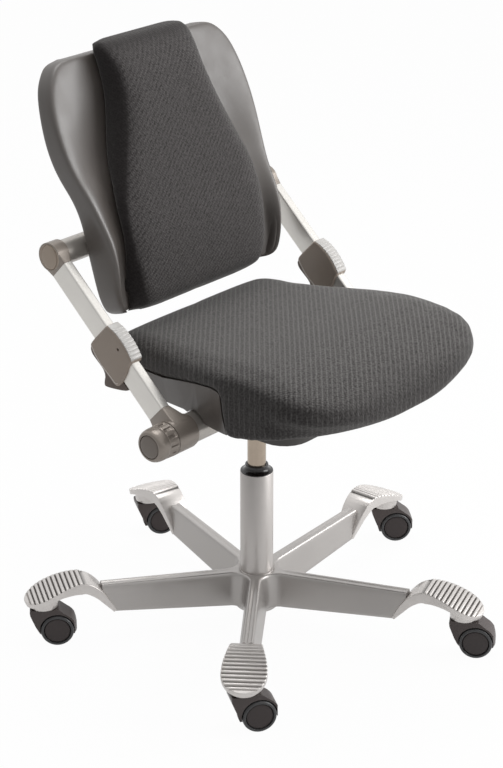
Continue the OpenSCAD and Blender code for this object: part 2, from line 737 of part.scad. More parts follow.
// Crown of the cushion, then its lower edge, from the front to the back
function seat_top(y) =
    mix(seat_top_back, seat_top_front, ease((seat_rear_y - 50 - y) / 250))
        - spline(min(y - seat_front_y, 137), [[0, 60], [4, 48], [14, 34], [30, 23], [53, 13], [88, 5], [138, 0]])
        - spline(min(seat_rear_y - y, 59), [[0, 30], [10, 15], [25, 6], [60, 0]]);
function wrap_z(y) = mix(wrap_corner_z, wrap_low_z, ease((wrap_y - 8 - y) / 110));
function seat_low(y) =
    y < wrap_y - 8 ? wrap_z(y) : mix(wrap_corner_z, spline(y, [
        [wrap_y - 8, 462], [-105, 470], [-85, 471], [-67, 468], [-30, 460], [20, 447], [80, 442], [seat_rear_y, 441]
    ]), ease((y - wrap_y + 8) / 10));
// Rows crowd towards both ends and at the step where the cushion wraps the pan
seat_stations = concat(
    [for (k = [0.006, 0.025, 0.06, 0.12, 0.2, 0.3, 0.43, 0.6, 0.8, 1]) mix(seat_front_y, wrap_y - 16, k)],
    [wrap_y - 8, wrap_y - 3, wrap_y + 2, wrap_y + 8],
    [for (k = [0, 0.14, 0.3, 0.47, 0.64, 0.78, 0.88, 0.945, 0.98, 0.998]) mix(wrap_y + 22, seat_rear_y, k)]
);

// Columns of a crowned pad from side to side: [x, share of the height], foot being its half width below
wall_share = 0.56;
function pad_columns(half, edge, foot) =
    let (side = [[mix(foot, half, 0.4), 0.22], [half, wall_share], [half - edge * 0.08, 0.8],
        [half - edge * 0.36, 0.93], [half - edge, 0.98], [half * 0.62, 0.995], [half * 0.34, 1]])
    concat([for (p = side) [-p[0], p[1]]], [[0, 1]], [for (i = [len(side) - 1:-1:0]) side[i]]);
FLAT = [0.34, 0.62, 0.8, 0.88, 0.93, 0.97, 1];
function flat_columns(foot) = concat([for (i = [len(FLAT) - 1:-1:0]) -FLAT[i] * foot], [0], FLAT * foot);

// The top is drawn from its crown down, so the step in the lower edge doesn't reach it
function seat_edge(y) = min(26, seat_half_w(y) * 0.3);
function seat_fall(y) = min(52, seat_top(y) - wrap_low_z);
function seat_upper_z(y, k) =
    k > wall_share
        ? seat_top(y) - (1 - k) * seat_fall(y)
        : min(mix(seat_low(y), seat_top(y), k), seat_top(y) - 0.2 * seat_fall(y) - 1);
function seat_upper_row(y) =
    [for (p = pad_columns(seat_half_w(y), seat_edge(y), seat_foot_w(y) - 3)) [p[0], y, seat_upper_z(y, p[1])]];
function seat_lower_row(y) = [for (x = flat_columns(seat_foot_w(y) - 5)) [x, y, seat_low(y)]];

module seat_cushion() {
    color(C_FABRIC) sheet_solid(
        [for (y = seat_stations) seat_upper_row(y)],
        [for (y = seat_stations) seat_lower_row(y)]
    );
}

pan_stations = [for (y = seat_stations) if (y > wrap_y - 4 && y < seat_rear_y - 3) y];
pan_floor = 8;
frame_half = 118;
tray_y = -186;
tray_half = 152;
tray_z = pan_low_z - frame_t - 1;
function pan_edge_z(y) = spline(y, [
    [-130, 405], [-89, 405], [-53, 406], [-5, 411], [22, 406], [45, 400], [90, 397], [142, 400], [160, 404]
]);
function pan_lower_row(y) =
    let (half = seat_half_w(y) * 0.94)
    [for (x = flat_columns(half)) [x, y, mix(pan_low_z, pan_edge_z(y), ease((abs(x) / half - 0.8) / 0.2))]];
function pan_upper_row(y) =
    let (half = seat_half_w(y) * 0.985)
    [for (x = flat_columns(half)) [x, y, seat_low(y) - soft_gap]];

module seat_pan() {
    color(C_SHELL) difference() {
        sheet_solid(
            [for (y = pan_stations) pan_upper_row(y)],
            [for (y = pan_stations) pan_lower_row(y)]
        );
        at_low_axis() bar_x(low_tube_r + 2, -300, 300, SOFT);
        at_low_axis() bar_x(boss_r + 2, -lug_in - lug_t - 2, lug_in + lug_t + 2, SOFT);
        translate([0, (seat_rear_y - 16) / 2, pan_low_z + pan_floor]) linear_extrude(80)
            polygon(round_rect(2 * frame_half, seat_rear_y - 32, 24));
    }
}

module seat_frame() {
    color(C_STEEL) difference() {
        union() {
            translate([0, -12, pan_low_z - frame_t]) linear_extrude(frame_t)
                polygon(round_rect(2 * frame_half, 140, 18));
            translate([-frame_half, 0, 0]) rotate([90, 0, 90]) linear_extrude(2 * frame_half) polygon(concat(
                [[wrap_y - 8, tray_z + 2], [tray_y + 16, tray_z + 2]],
                [for (y = seat_stations) if (y > tray_y + 16 && y < wrap_y - 7) [y, seat_low(y) - soft_gap]]
            ));
            translate([0, (tray_y + wrap_y + 34) / 2, tray_z]) linear_extrude(frame_t)
                polygon(round_rect(2 * tray_half, wrap_y + 34 - tray_y, 40));
            for (m = [-1, 1]) at_low_axis()
                bar_x(boss_r, m > 0 ? lug_in : -lug_in - lug_t, m > 0 ? lug_in + lug_t : -lug_in);
        }
        translate([0, -20, 0]) linear_extrude(600) polygon(round_rect(2 * lug_in, 136, 8));
        at_low_axis() difference() {
            bar_x(boss_r + 1.5, -300, 300);
            for (m = [-1, 1]) bar_x(boss_r + 3, m > 0 ? lug_in : -lug_in - lug_t, m > 0 ? lug_in + lug_t : -lug_in);
        }
        at_low_axis() bar_x(low_tube_r + run_gap, -300, 300);
    }
}

module seat_bolts() {
    color(C_STEEL) for (x = [-90, 90], y = [6, 40]) translate([x, y, pan_low_z - frame_t - 3])
        cylinder(h = 3, r = 5, $fn = SMALL);
}

// Backrest, drawn as [across, forward of the lean line, up the lean line]

function on_back(x, n, v) = [
    x, back_y - n * cos(back_lean) + v * sin(back_lean), back_z + n * sin(back_lean) + v * cos(back_lean)
];
module back_frame() multmatrix([
    [1, 0, 0, 0],
    [0, -cos(back_lean), sin(back_lean), back_y],
    [0, sin(back_lean), cos(back_lean), back_z],
    [0, 0, 0, 1]
]) children();

// Stations up the shell, as a share of its height: half width as a share of the shoulder's,
// front ridge, rear edge and middle face, forward of the lean line
SHELL = [
    [0.000, 0.78, 34, 0, 15], [0.018, 0.85, 36, 0, 17], [0.055, 0.885, 39, 0, 20], [0.17, 0.90, 50, 0, 28],
    [0.28, 0.905, 51, 0, 34], [0.38, 0.915, 41, 2, 29], [0.47, 0.94, 34, 0, 21], [0.58, 0.985, 24, -10, 6],
    [0.69, 1.0, 17, -16, 0], [0.81, 0.985, 10, -19, -1], [0.91, 0.94, 5, -24, -3], [1.00, 0.885, -2, -26, -6]
];
function shell_half_w(v) =
    spline(v / shell_h, SHELL, 1) * shell_w / 2 * corner(max(v / shell_h - 0.5, 0) * 2, 12);
function shell_ridge(v) = spline(v / shell_h, SHELL, 2);
function shell_rear(v) = spline(v / shell_h, SHELL, 3);
function shell_face(v) = spline(v / shell_h, SHELL, 4);

// Stations up the cushion: half width as a share of the widest, front face, half width where it meets the shell
PAD = [
    [0.00, 0.85, 32, 1.05], [0.04, 0.90, 42, 1.085], [0.10, 0.955, 50, 1.095], [0.17, 0.995, 54, 1.065],
    [0.27, 1.015, 58, 1.01], [0.42, 0.99, 56, 0.96], [0.58, 0.84, 53, 0.82], [0.71, 0.715, 50, 0.70],
    [0.82, 0.645, 45, 0.635], [0.92, 0.635, 35, 0.63], [1.00, 0.65, 16, 0.65]
];
pad_low_v = -8;
function pad_share(v) = (v - pad_low_v) / (back_pad_h - pad_low_v);
function pad_half_w(v) =
    spline(pad_share(v), PAD, 1) * back_pad_w / 2 * end_keep(back_pad_h - v, 12, 5) * end_keep(v - pad_low_v, 12, 5);
function pad_front(v) = spline(pad_share(v), PAD, 2);
function pad_foot_w(v) =
    spline(pad_share(v), PAD, 3) * back_pad_w / 2 * end_keep(back_pad_h - v, 12, 5) * end_keep(v - pad_low_v, 10, 5) - 3;

back_rows = [for (i = [0:18]) let (k = i / 18) mix(9, shell_h - 9, k)];
// Rows of the shell: [height, how far the face has turned back towards the rear edge]
shell_rows = concat(
    [[0.6, 1], [0.6, 0.5], [2.5, 0.14]],
    [for (v = back_rows) [v, 0]],
    [[shell_h - 2.5, 0.14], [shell_h - 0.6, 0.5], [shell_h - 0.6, 1]]
);

// Columns of the shell across one half: [x, forward]
function shell_half(v, skin) =
    let (
        w = shell_half_w(v) - skin,
        inner = min(pad_foot_w(min(max(v, 12), back_pad_h - 20)) + 8, w - 16),
        face = shell_face(v) - skin,
        ridge = shell_ridge(v) - skin,
        rear = shell_rear(v)
    )
    concat(
        [for (k = [0, 0.34, 0.68, 1]) [inner * k, face]],
        [for (k = [0.3, 0.62, 0.86]) [mix(inner, w - 6, k), mix(face, ridge, ease(k))]],
        [[w - 6, ridge - 0.6], [w - 2.5, ridge - 3.5], [w - 1, ridge - 9], [w - 0.4, mix(ridge, rear, 0.6)], [w, rear]]
    );
function shell_row(v, turn, skin) =
    let (
        half = shell_half(min(max(v, 9), shell_h - 9), skin),
        squeeze = shell_half_w(v) / shell_half_w(min(max(v, 9), shell_h - 9)),
        rear = shell_rear(v),
        all = concat([for (i = [len(half) - 1:-1:1]) [-half[i][0], half[i][1]]], half)
    )
    [for (p = all) on_back(p[0] * squeeze, mix(p[1], rear, turn), v)];

module back_shell() {
    function inset(v) = min(max(v, 0.6 + shell_wall), shell_h - 0.6 - shell_wall);
    color(C_SHELL) sheet_solid(
        [for (r = shell_rows) shell_row(r[0], r[1], 0)],
        [for (r = shell_rows) shell_row(inset(r[0]), r[1], shell_wall)]
    );
}

pad_stations = concat(
    [pad_low_v + 0.4, pad_low_v + 2.5, -0.6, 0.2],
    back_rows,
    [shell_h - 3, shell_h + 3, mix(shell_h + 3, back_pad_h, 0.7), back_pad_h - 0.6]
);
// Below the shell the pad reaches back under its lower edge
function pad_rear(v) = v < 0 ? shell_rear(0) + 3 : shell_face(min(v, shell_h)) + soft_gap;
// The pad's ends round over as its sides do
function pad_tall(v) =
    (pad_front(v) - pad_rear(v)) * max(end_keep(back_pad_h - v, 16, 3) * end_keep(v - pad_low_v, 20, 2.2), 0.45);
pad_edge = 28;
function pad_front_row(v) =
    [for (p = pad_columns(pad_half_w(v), pad_edge, pad_foot_w(v))) on_back(p[0], pad_rear(v) + pad_tall(v) * p[1], v)];
function pad_rear_row(v) = [for (x = flat_columns(pad_foot_w(v) - 2)) on_back(x, pad_rear(v), v)];

module back_cushion() {
    color(C_FABRIC) sheet_solid([for (v = pad_stations) pad_front_row(v)], [for (v = pad_stations) pad_rear_row(v)]);
}

// The bracket clamps the upper cross tube and carries the shell on a flange shaped to its back
bracket_half = 60;
flange_t = 5;
screw_x = 46;
screw_v = 34;
up_on_back_v = back_fore * sin(back_lean) + back_drop * cos(back_lean);
up_on_back_n = -back_fore * cos(back_lean) + back_drop * sin(back_lean);
flange_rows = [for (v = back_rows) if (abs(v - up_on_back_v) < 50) v];
function flange_face(v) = shell_face(v) - shell_wall - run_gap;
function flange_row(v, back) = [for (x = [-bracket_half, bracket_half]) on_back(x, flange_face(v) - back, v)];
screw_seat_n = min([for (v = flange_rows) flange_face(v)]) - flange_t - 2;
// Screw positions on the flange: [across, up the lean]
SCREWS = [for (x = [-screw_x, screw_x], v = [-screw_v, screw_v]) [x, up_on_back_v + v]];

// A round boss or screw head standing on the back of the flange
module on_flange(p, from, to, r) {
    back_frame() translate([p[0], from, p[1]]) rotate([-90, 0, 0]) cylinder(h = to - from, r = r, $fn = SMALL);
}

module back_bracket() {
    color(C_BLACK) difference() {
        union() {
            at_up_axis() bar_x(up_tube_r + 5, -bracket_half, bracket_half);
            sheet_solid([for (v = flange_rows) flange_row(v, 0)], [for (v = flange_rows) flange_row(v, flange_t)]);
            back_frame() translate([-bracket_half + 6, up_on_back_n, up_on_back_v - 14])
                cube([2 * bracket_half - 12, flange_face(up_on_back_v + 14) - 2 - up_on_back_n, 28]);
            for (p = SCREWS) on_flange(p, screw_seat_n, flange_face(p[1]) - flange_t / 2, 7);
        }
        at_up_axis() bar_x(up_tube_r + run_gap, -100, 100);
    }
}

module back_screws() {
    color(C_STEEL) for (p = SCREWS) on_flange(p, screw_seat_n - 3, screw_seat_n, 4.5);
}

// Casters

module at_caster(k) {
    rotate(leg_turn + k * 72) translate([stem_circle_r, 0, 0]) rotate(CASTER_TURN[k] - leg_turn - k * 72) children();
}

// Side view of the hood: [back from the stem, height]
hood_r = wheel_r + 1.5 + hood_t;
module hood_side() {
    inner = wheel_r + 1.5;
    top = socket_z - turn_gap;
    polygon(concat(
        [[-socket_r + 0.5, top], [-socket_r - 0.3, top - 3], [-socket_r + 0.5, top - 9], [-socket_r + 4, top - 18],
            [-socket_r + 8, top - 28]],
        [for (a = [190:-10:-10]) [caster_trail + inner * cos(a), wheel_r + inner * sin(a)]],
        [for (a = [-10:10:60]) [caster_trail + hood_r * cos(a), wheel_r + hood_r * sin(a)]],
        [[socket_r + 4, top - 2], [socket_r + 1, top]]
    ));
}

module caster_hood(k) {
    side_w = caster_w - 4;
    web = 7;
    color(C_HOOD) at_caster(k) difference() {
        union() {
            intersection() {
                rotate([90, 0, 0]) translate([0, 0, -side_w / 2]) linear_extrude(side_w) hood_side();
                translate([caster_trail * 0.5, 0, 0]) cylinder(h = 100, r = hood_r + 9, $fn = ROUND);
            }
            intersection() {
                rotate([90, 0, 0]) translate([caster_trail, wheel_r, -web / 2])
                    cylinder(h = web, r = hood_r - 1, $fn = ROUND);
                translate([-100, -50, 12]) cube([200, 100, socket_z - turn_gap - 13]);
            }
            rotate([90, 0, 0]) translate([caster_trail, wheel_r, -caster_w / 2 + 3])
                cylinder(h = caster_w - 6, r = 3.5, $fn = SMALL);
        }
        translate([0, 0, stem_foot_z]) cylinder(h = 60, r = stem_r, $fn = ROUND);
    }
}

module caster_stem(k) {
    color(C_STEEL) at_caster(k) translate([0, 0, stem_foot_z])
        cylinder(h = socket_z + 16 - stem_foot_z, r = stem_r, $fn = ROUND);
}

module caster_wheel(k, s) {
    web = 7;
    inner = web / 2 + 0.6;
    outer = caster_w / 2;
    color(C_TREAD) at_caster(k) translate([caster_trail, 0, wheel_r]) mirror([0, s == "left" ? 0 : 1, 0])
        rotate([-90, 0, 0]) difference() {
            rotate_extrude($fn = ROUND) polygon([
                [0, inner], [wheel_r - 1.5, inner], [wheel_r, inner + 1.5], [wheel_r, outer - 3], [wheel_r - 0.9, outer - 0.9],
                [wheel_r - 3, outer], [wheel_r - 4.4, outer], [wheel_r - 5, outer - 1.2], [0, outer - 0.8]
            ]);
            translate([0, 0, -1]) cylinder(h = outer - 2 + EPS, r = 3.5 + run_gap, $fn = SMALL);
        }
}

base_casting();
column_tube();
column_collar();
column_guide();
thrust_bearing();
rod_clip();
piston_rod();
gas_cylinder();
tilt_housing();
lower_cross_tube();
tube_end_cap();
tension_spindle();
tension_knob();
knob_disc();
seat_frame();
seat_bolts();
seat_pan();
seat_cushion();
upper_cross_tube();
back_bracket();
back_screws();
back_shell();
back_cushion();
for (s = SIDES) {
    arm_bar(s);
    lower_hub(s);
    upper_hub(s);
    upper_cap(s);
    slider(s);
    slider_grip(s);
    squeeze_lever(s);
    lever_pin(s);
}
for (k = LEGS) {
    caster_stem(k);
    caster_hood(k);
    caster_wheel(k, "left");
    caster_wheel(k, "right");
}
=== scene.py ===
"""Looks of the office swivel chair: cushions, rolled shell, rounded castings, finishes, light and camera."""

import json
import logging
import math
from collections.abc import Iterable
from dataclasses import dataclass, field
from enum import Enum

import bmesh
import bpy
from mathutils import Matrix, Vector


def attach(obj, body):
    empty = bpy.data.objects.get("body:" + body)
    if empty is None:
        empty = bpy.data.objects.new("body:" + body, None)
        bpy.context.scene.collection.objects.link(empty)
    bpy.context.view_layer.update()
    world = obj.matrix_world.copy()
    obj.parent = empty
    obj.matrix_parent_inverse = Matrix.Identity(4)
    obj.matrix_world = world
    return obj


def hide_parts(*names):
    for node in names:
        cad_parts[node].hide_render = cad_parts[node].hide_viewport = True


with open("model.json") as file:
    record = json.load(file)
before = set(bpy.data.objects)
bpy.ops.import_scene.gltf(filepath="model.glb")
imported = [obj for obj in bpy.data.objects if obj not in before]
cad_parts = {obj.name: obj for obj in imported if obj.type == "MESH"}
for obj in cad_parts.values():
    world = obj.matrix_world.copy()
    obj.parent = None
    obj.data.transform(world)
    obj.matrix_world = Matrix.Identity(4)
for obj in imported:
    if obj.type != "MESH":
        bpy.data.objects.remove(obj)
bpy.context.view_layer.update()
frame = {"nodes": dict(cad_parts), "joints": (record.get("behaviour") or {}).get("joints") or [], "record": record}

log = logging.getLogger("chair")

Triple = tuple[float, float, float]
Outline = list[tuple[float, float]]
Rows = tuple[tuple[float, float], ...]
Form = bmesh.types.BMesh
Piece = bpy.types.Object
Node = bpy.types.Node
Socket = bpy.types.NodeSocket
Tree = bpy.types.NodeTree

SIDES = {"left": 1.0, "right": -1.0}
CASTERS = range(1, 6)
BACK_LEAN = math.radians(14.7)
ARM_RISE = math.radians(43.15)
LOWER_TUBE = (-45.6, 395.1)
UPPER_TUBE = (180.565, 607.112)
MILLIMETRES = Matrix.Scale(0.001, 4)
ACROSS = Matrix.Rotation(math.pi / 2, 4, "Y")
HERE = Matrix.Identity(4)
# Near-black colour that the mesh's 'shade' attribute blends in: painted shade in the foot plates' rib valleys and over
# the legs.
PAINTED_SHADE = (0.03, 0.028, 0.026)


class Pattern(Enum):
    """How cloth lies: turns of its rows, the cushion's outward side, and the span over which its light rows and flecks
    fade as the cloth turns away from that side, a painted shade on the cushion's sides.
    """

    SEAT = (((0.0, 0.0, math.radians(49.6)),), (0.0, 0.0, 1.0), (0.3, 0.92, 0.35, 1.0))
    BACK = (
        ((-math.pi / 2 - BACK_LEAN, 0.0, 0.0), (0.0, 0.0, math.radians(52.0))),
        (0.0, -math.cos(BACK_LEAN), math.sin(BACK_LEAN)), (0.72, 0.95, 0.0, 1.0),
    )


class Kit:
    """Small helpers that put shader nodes together."""

    def __init__(self, tree: Tree) -> None:
        """Keeps the tree that the nodes go into."""
        self.tree = tree

    def feed(self, node: Node, inputs: dict) -> None:
        """Links sockets to a node's inputs and sets plain values on them.

        Args:
            node: the node.
            inputs: socket or value for each input, by name or number.
        """
        for key, value in inputs.items():
            if isinstance(value, Socket):
                self.tree.links.new(value, node.inputs[key])
            else:
                node.inputs[key].default_value = value

    def add(self, kind: str, inputs: dict | None = None, **values: object) -> Node:
        """Adds one node.

        Args:
            kind: the node's Blender type.
            inputs: what feeds its inputs.
            **values: attributes to set on it.

        Returns:
            The new node.
        """
        node = self.tree.nodes.new(kind)
        for key, value in values.items():
            setattr(node, key, value)
        self.feed(node, inputs or {})
        return node

    def math(self, operation: str, *inputs: object) -> Socket:
        """Adds a Math node on numbers or sockets."""
        return self.add("ShaderNodeMath", dict(enumerate(inputs)), operation=operation).outputs[0]

    def sum_of(self, outputs: bpy.types.NodeOutputs, **shares: float) -> Socket:
        """Adds up shares of a node's outputs.

        Args:
            outputs: the node's outputs.
            **shares: share of each.

        Returns:
            The sum.
        """
        total, *rest = (self.math("MULTIPLY", outputs[key], share) for key, share in shares.items())
        for part in rest:
            total = self.math("ADD", total, part)
        return total

    def dot(self, first: Socket, second: object) -> Socket:
        """Adds the dot product of two vectors."""
        return self.add("ShaderNodeVectorMath", {0: first, 1: second}, operation="DOT_PRODUCT").outputs["Value"]

    def span(self, value: Socket, *span: float) -> Socket:
        """Maps a value from the first two numbers onto the other two, and no further."""
        return self.add("ShaderNodeMapRange", dict(enumerate((value, *span))), clamp=True).outputs[0]

    def blend(self, factor: object, first: object, second: object) -> Socket:
        """Mixes two colours, which may be sockets."""
        first, second = (value if isinstance(value, Socket) else (*value, 1.0) for value in (first, second))
        return self.add("ShaderNodeMix", {0: factor, 6: first, 7: second}, data_type="RGBA").outputs[2]

    def noise(self, vector: Socket, scale: object, detail: float = 2.0, roughness: float = 0.5) -> Socket:
        """Adds a noise texture."""
        inputs = {"Vector": vector, "Scale": scale, "Detail": detail, "Roughness": roughness}
        return self.add("ShaderNodeTexNoise", inputs).outputs["Fac"]


def open_group(name: str, **floats: float) -> tuple[Kit, bpy.types.NodeOutputs]:
    """Starts a node group that takes a Vector and some numbers.

    Args:
        name: the group's name.
        **floats: names and defaults of its number inputs.

    Returns:
        Its nodes, and its inputs by name.
    """
    kit = Kit(bpy.data.node_groups.new(name, "ShaderNodeTree"))
    kit.tree.interface.new_socket("Vector", in_out="INPUT", socket_type="NodeSocketVector")
    for key, value in floats.items():
        kit.tree.interface.new_socket(key, in_out="INPUT", socket_type="NodeSocketFloat").default_value = value
    return kit, kit.add("NodeGroupInput").outputs


def close_group(kit: Kit, **values: Socket) -> Tree:
    """Declares a group's number outputs.

    Args:
        kit: the group's nodes.
        **values: what each output gives.

    Returns:
        The group.
    """
    for name in values:
        kit.tree.interface.new_socket(name, in_out="OUTPUT", socket_type="NodeSocketFloat")
    kit.add("NodeGroupOutput", values)
    return kit.tree


class Effects:
    """Node groups that several finishes share, each built once."""

    def __init__(self) -> None:
        """Builds every group."""
        self.wear, self.grain, self.tone = self.make_wear(), self.make_grain(), self.make_tone()
        self.brushed, self.weave = self.make_brushed(), self.make_weave()

    @staticmethod
    def make_wear() -> Tree:
        """Builds the mask that finds outer edges and breaks them up.

        Returns:
            The group.
        """
        kit, given = open_group("edge_wear", Radius=0.0015, Scale=90.0)
        bevel = kit.add("ShaderNodeBevel", {"Radius": given["Radius"]}, samples=4)
        flat = kit.add("ShaderNodeNewGeometry")
        edge = kit.span(kit.dot(bevel.outputs[0], flat.outputs["Normal"]), 0.99, 0.86, 0.0, 1.0)
        patchy = kit.span(kit.noise(given["Vector"], given["Scale"]), 0.38, 0.62, 0.25, 1.0)
        return close_group(kit, Mask=kit.math("MULTIPLY", edge, patchy))

    @staticmethod
    def make_grain() -> Tree:
        """Builds the fine pebble grain of moulded plastic and powder paint.

        Returns:
            The group.
        """
        kit, given = open_group("grain", Scale=900.0)
        inputs = {"Vector": given["Vector"], "Scale": given["Scale"]}
        cells = kit.add("ShaderNodeTexVoronoi", inputs, feature="SMOOTH_F1")
        pebbles = kit.math("MULTIPLY", cells.outputs["Distance"], 0.6)
        return close_group(kit, Height=kit.math("ADD", pebbles, kit.noise(given["Vector"], given["Scale"], 3.0)))

    @staticmethod
    def make_tone() -> Tree:
        """Builds the slow unevenness of a handled surface.

        Returns:
            The group.
        """
        kit, given = open_group("tone", Scale=9.0)
        noise = kit.noise(given["Vector"], given["Scale"], 5.0, 0.6)
        return close_group(kit, Value=kit.span(noise, 0.3, 0.7, 0.0, 1.0))

    @staticmethod
    def make_brushed() -> Tree:
        """Builds long fine lines along the mapped X axis.

        Returns:
            The group.
        """
        kit, given = open_group("brushed", Scale=1400.0)
        long = kit.add("ShaderNodeVectorMath", {0: given["Vector"], 1: (0.02, 1.0, 1.0)}, operation="MULTIPLY")
        return close_group(kit, Value=kit.noise(long.outputs[0], given["Scale"], 4.0))

    @staticmethod
    def make_weave() -> Tree:
        """Builds upholstery cloth: light dotted rows along the mapped Y axis over a fine cross weave.

        Returns:
            The group.
        """
        kit, given = open_group("weave", Row=0.0068, Dot=0.0034, Thread=0.0011, Wander=0.0016, Sharp=2.0, Gap=0.45)
        do = kit.math
        wobble = kit.noise(given["Vector"], 85.0)
        drift = do("MULTIPLY", do("SUBTRACT", wobble, 0.5), given["Wander"])
        parts = kit.add("ShaderNodeSeparateXYZ", {0: given["Vector"]})
        across, along = (do("ADD", parts.outputs[axis], drift) for axis in "XY")
        row = do("DIVIDE", across, given["Row"])
        ridge = do("SUBTRACT", 1.0, do("ABSOLUTE", do("SUBTRACT", do("MULTIPLY", do("FRACT", row), 2.0), 1.0)))
        stripe = do("POWER", ridge, given["Sharp"])
        phase = do("ADD", do("DIVIDE", along, given["Dot"]), do("MULTIPLY", do("FLOOR", row), 0.5))
        dots = kit.span(do("COSINE", do("MULTIPLY", phase, math.tau)), -1.0, 1.0, 0.0, 1.0)
        rows = do("MULTIPLY", stripe, do("MAXIMUM", dots, given["Gap"]))
        turns = (do("DIVIDE", do(way, across, along), given["Thread"]) for way in ("ADD", "SUBTRACT"))
        one, other = (do("COSINE", do("MULTIPLY", turn, math.pi)) for turn in turns)
        thread = kit.span(do("MULTIPLY", one, other), -1.0, 1.0, 0.0, 1.0)
        fleck = kit.span(kit.noise(given["Vector"], 400.0), 0.35, 0.65, 0.0, 1.0)
        return close_group(kit, Rows=rows, Thread=thread, Fleck=fleck)


def place(kit: Kit, group: Tree, vector: Socket, **values: float) -> bpy.types.NodeOutputs:
    """Puts a group into a material with its coordinates and numbers, and returns its outputs by name."""
    return kit.add("ShaderNodeGroup", {"Vector": vector, **values}, node_tree=group).outputs


def open_material(name: str) -> tuple[bpy.types.Material, Kit, Node]:
    """Starts a material.

    Args:
        name: the material's name.

    Returns:
        The material, its nodes and its Principled BSDF.
    """
    material = bpy.data.materials.new(name)
    material.use_nodes = True
    return material, Kit(material.node_tree), material.node_tree.nodes["Principled BSDF"]


def object_coordinates(kit: Kit, turns: Iterable[Triple] = ()) -> Socket:
    """Reads the piece's own coordinates.

    Args:
        kit: the material's nodes.
        turns: turns of the pattern in radians, one after the other.

    Returns:
        The turned coordinates.
    """
    vector = kit.add("ShaderNodeTexCoord").outputs["Object"]
    for turn in turns:
        vector = kit.add("ShaderNodeMapping", {"Vector": vector, "Rotation": turn}).outputs["Vector"]
    return vector


@dataclass(frozen=True)
class HardFinish:
    """Paint, plastic or metal with grain, wear along its edges, a slow change of tone, and painted shade where the mesh
    asks for it.
    """

    name: str
    colour: Triple
    edge: Triple
    roughness: float
    metallic: float = 0.0
    coat: float = 0.0
    specular: float = 0.5
    grain: float = 900.0
    depth: float = 0.00003
    wear: float = 0.5
    tone: float = 0.12
    lines: Triple | None = None
    shade: float = 0.0

    def build(self, effects: Effects) -> bpy.types.Material:
        """Makes the material.

        Args:
            effects: the shared groups.

        Returns:
            The material.
        """
        material, kit, shader = open_material(self.name)
        vector = object_coordinates(kit)
        rough = place(kit, effects.tone, vector, Scale=11.0)["Value"]
        wear = place(kit, effects.wear, vector)["Mask"]
        height = place(kit, effects.grain, vector, Scale=self.grain)["Height"]
        shares = (1.0 - self.tone, 1.0 + self.tone)
        colour = kit.blend(rough, *(tuple(min(channel * share, 1.0) for channel in self.colour) for share in shares))
        colour = kit.blend(kit.math("MULTIPLY", wear, self.wear), colour, self.edge)
        # Painted shade: the mesh's 'shade' attribute darkens the colour towards a near black.
        if self.shade:
            deep = kit.add("ShaderNodeAttribute", attribute_name="shade").outputs["Fac"]
            colour = kit.blend(kit.math("MULTIPLY", deep, self.shade), colour, PAINTED_SHADE)
        if self.lines is not None:
            rough = place(kit, effects.brushed, object_coordinates(kit, [self.lines]))["Value"]
            height = kit.math("ADD", height, kit.math("MULTIPLY", rough, 1.6))
        bump = kit.add("ShaderNodeBump", {"Strength": 0.6, "Distance": self.depth, "Height": height})
        kit.feed(shader, {
            "Base Color": colour, "Normal": bump.outputs["Normal"], "Metallic": self.metallic, "Coat Weight": self.coat,
            "Roughness": kit.span(rough, 0.2, 0.8, self.roughness * 0.86, self.roughness * 1.14),
            "Coat Roughness": 0.18, "Specular IOR Level": self.specular,
        })
        return material


@dataclass(frozen=True)
class ClothFinish:
    """Charcoal upholstery cloth with light dotted rows, in metres."""

    name: str
    ground: Triple
    light: Triple
    pattern: Pattern
    row: float
    dot: float
    sharp: float
    gap: float
    strength: float

    def build(self, effects: Effects) -> bpy.types.Material:
        """Makes the material.

        Args:
            effects: the shared groups.

        Returns:
            The material.
        """
        material, kit, shader = open_material(self.name)
        turns, outward, side_shade_span = self.pattern.value
        vector = object_coordinates(kit, turns)
        weave = place(kit, effects.weave, vector, Row=self.row, Dot=self.dot, Sharp=self.sharp, Gap=self.gap)
        tone = place(kit, effects.tone, vector, Scale=7.0)["Value"]
        normal = kit.add("ShaderNodeTexCoord").outputs["Normal"]
        # Painted shade: the light rows and flecks fade where the cloth turns away from the cushion's outward side,
        # which darkens the cushion's sides.
        flat = kit.span(kit.dot(normal, outward), *side_shade_span)

        base = kit.blend(tone, tuple(channel * 0.86 for channel in self.ground), self.ground)
        speck = kit.math("MULTIPLY", kit.sum_of(weave, Fleck=0.42, Thread=0.06), kit.span(flat, 0.0, 1.0, 0.22, 1.0))
        rows = kit.math("MULTIPLY", weave["Rows"], kit.span(flat, 0.0, 1.0, 0.06, self.strength))
        height = kit.sum_of(weave, Rows=0.7, Thread=0.5, Fleck=0.5)
        relief = {"Strength": 0.55, "Distance": 0.0005, "Height": height}
        kit.feed(shader, {
            "Base Color": kit.blend(rows, kit.blend(speck, base, self.light), self.light),
            "Roughness": kit.span(weave["Thread"], 0.0, 1.0, 0.86, 0.97),
            "Normal": kit.add("ShaderNodeBump", relief).outputs["Normal"], "Specular IOR Level": 0.25,
            "Sheen Weight": 0.35, "Sheen Roughness": 0.45, "Sheen Tint": (0.75, 0.74, 0.72, 1.0),
        })
        return material


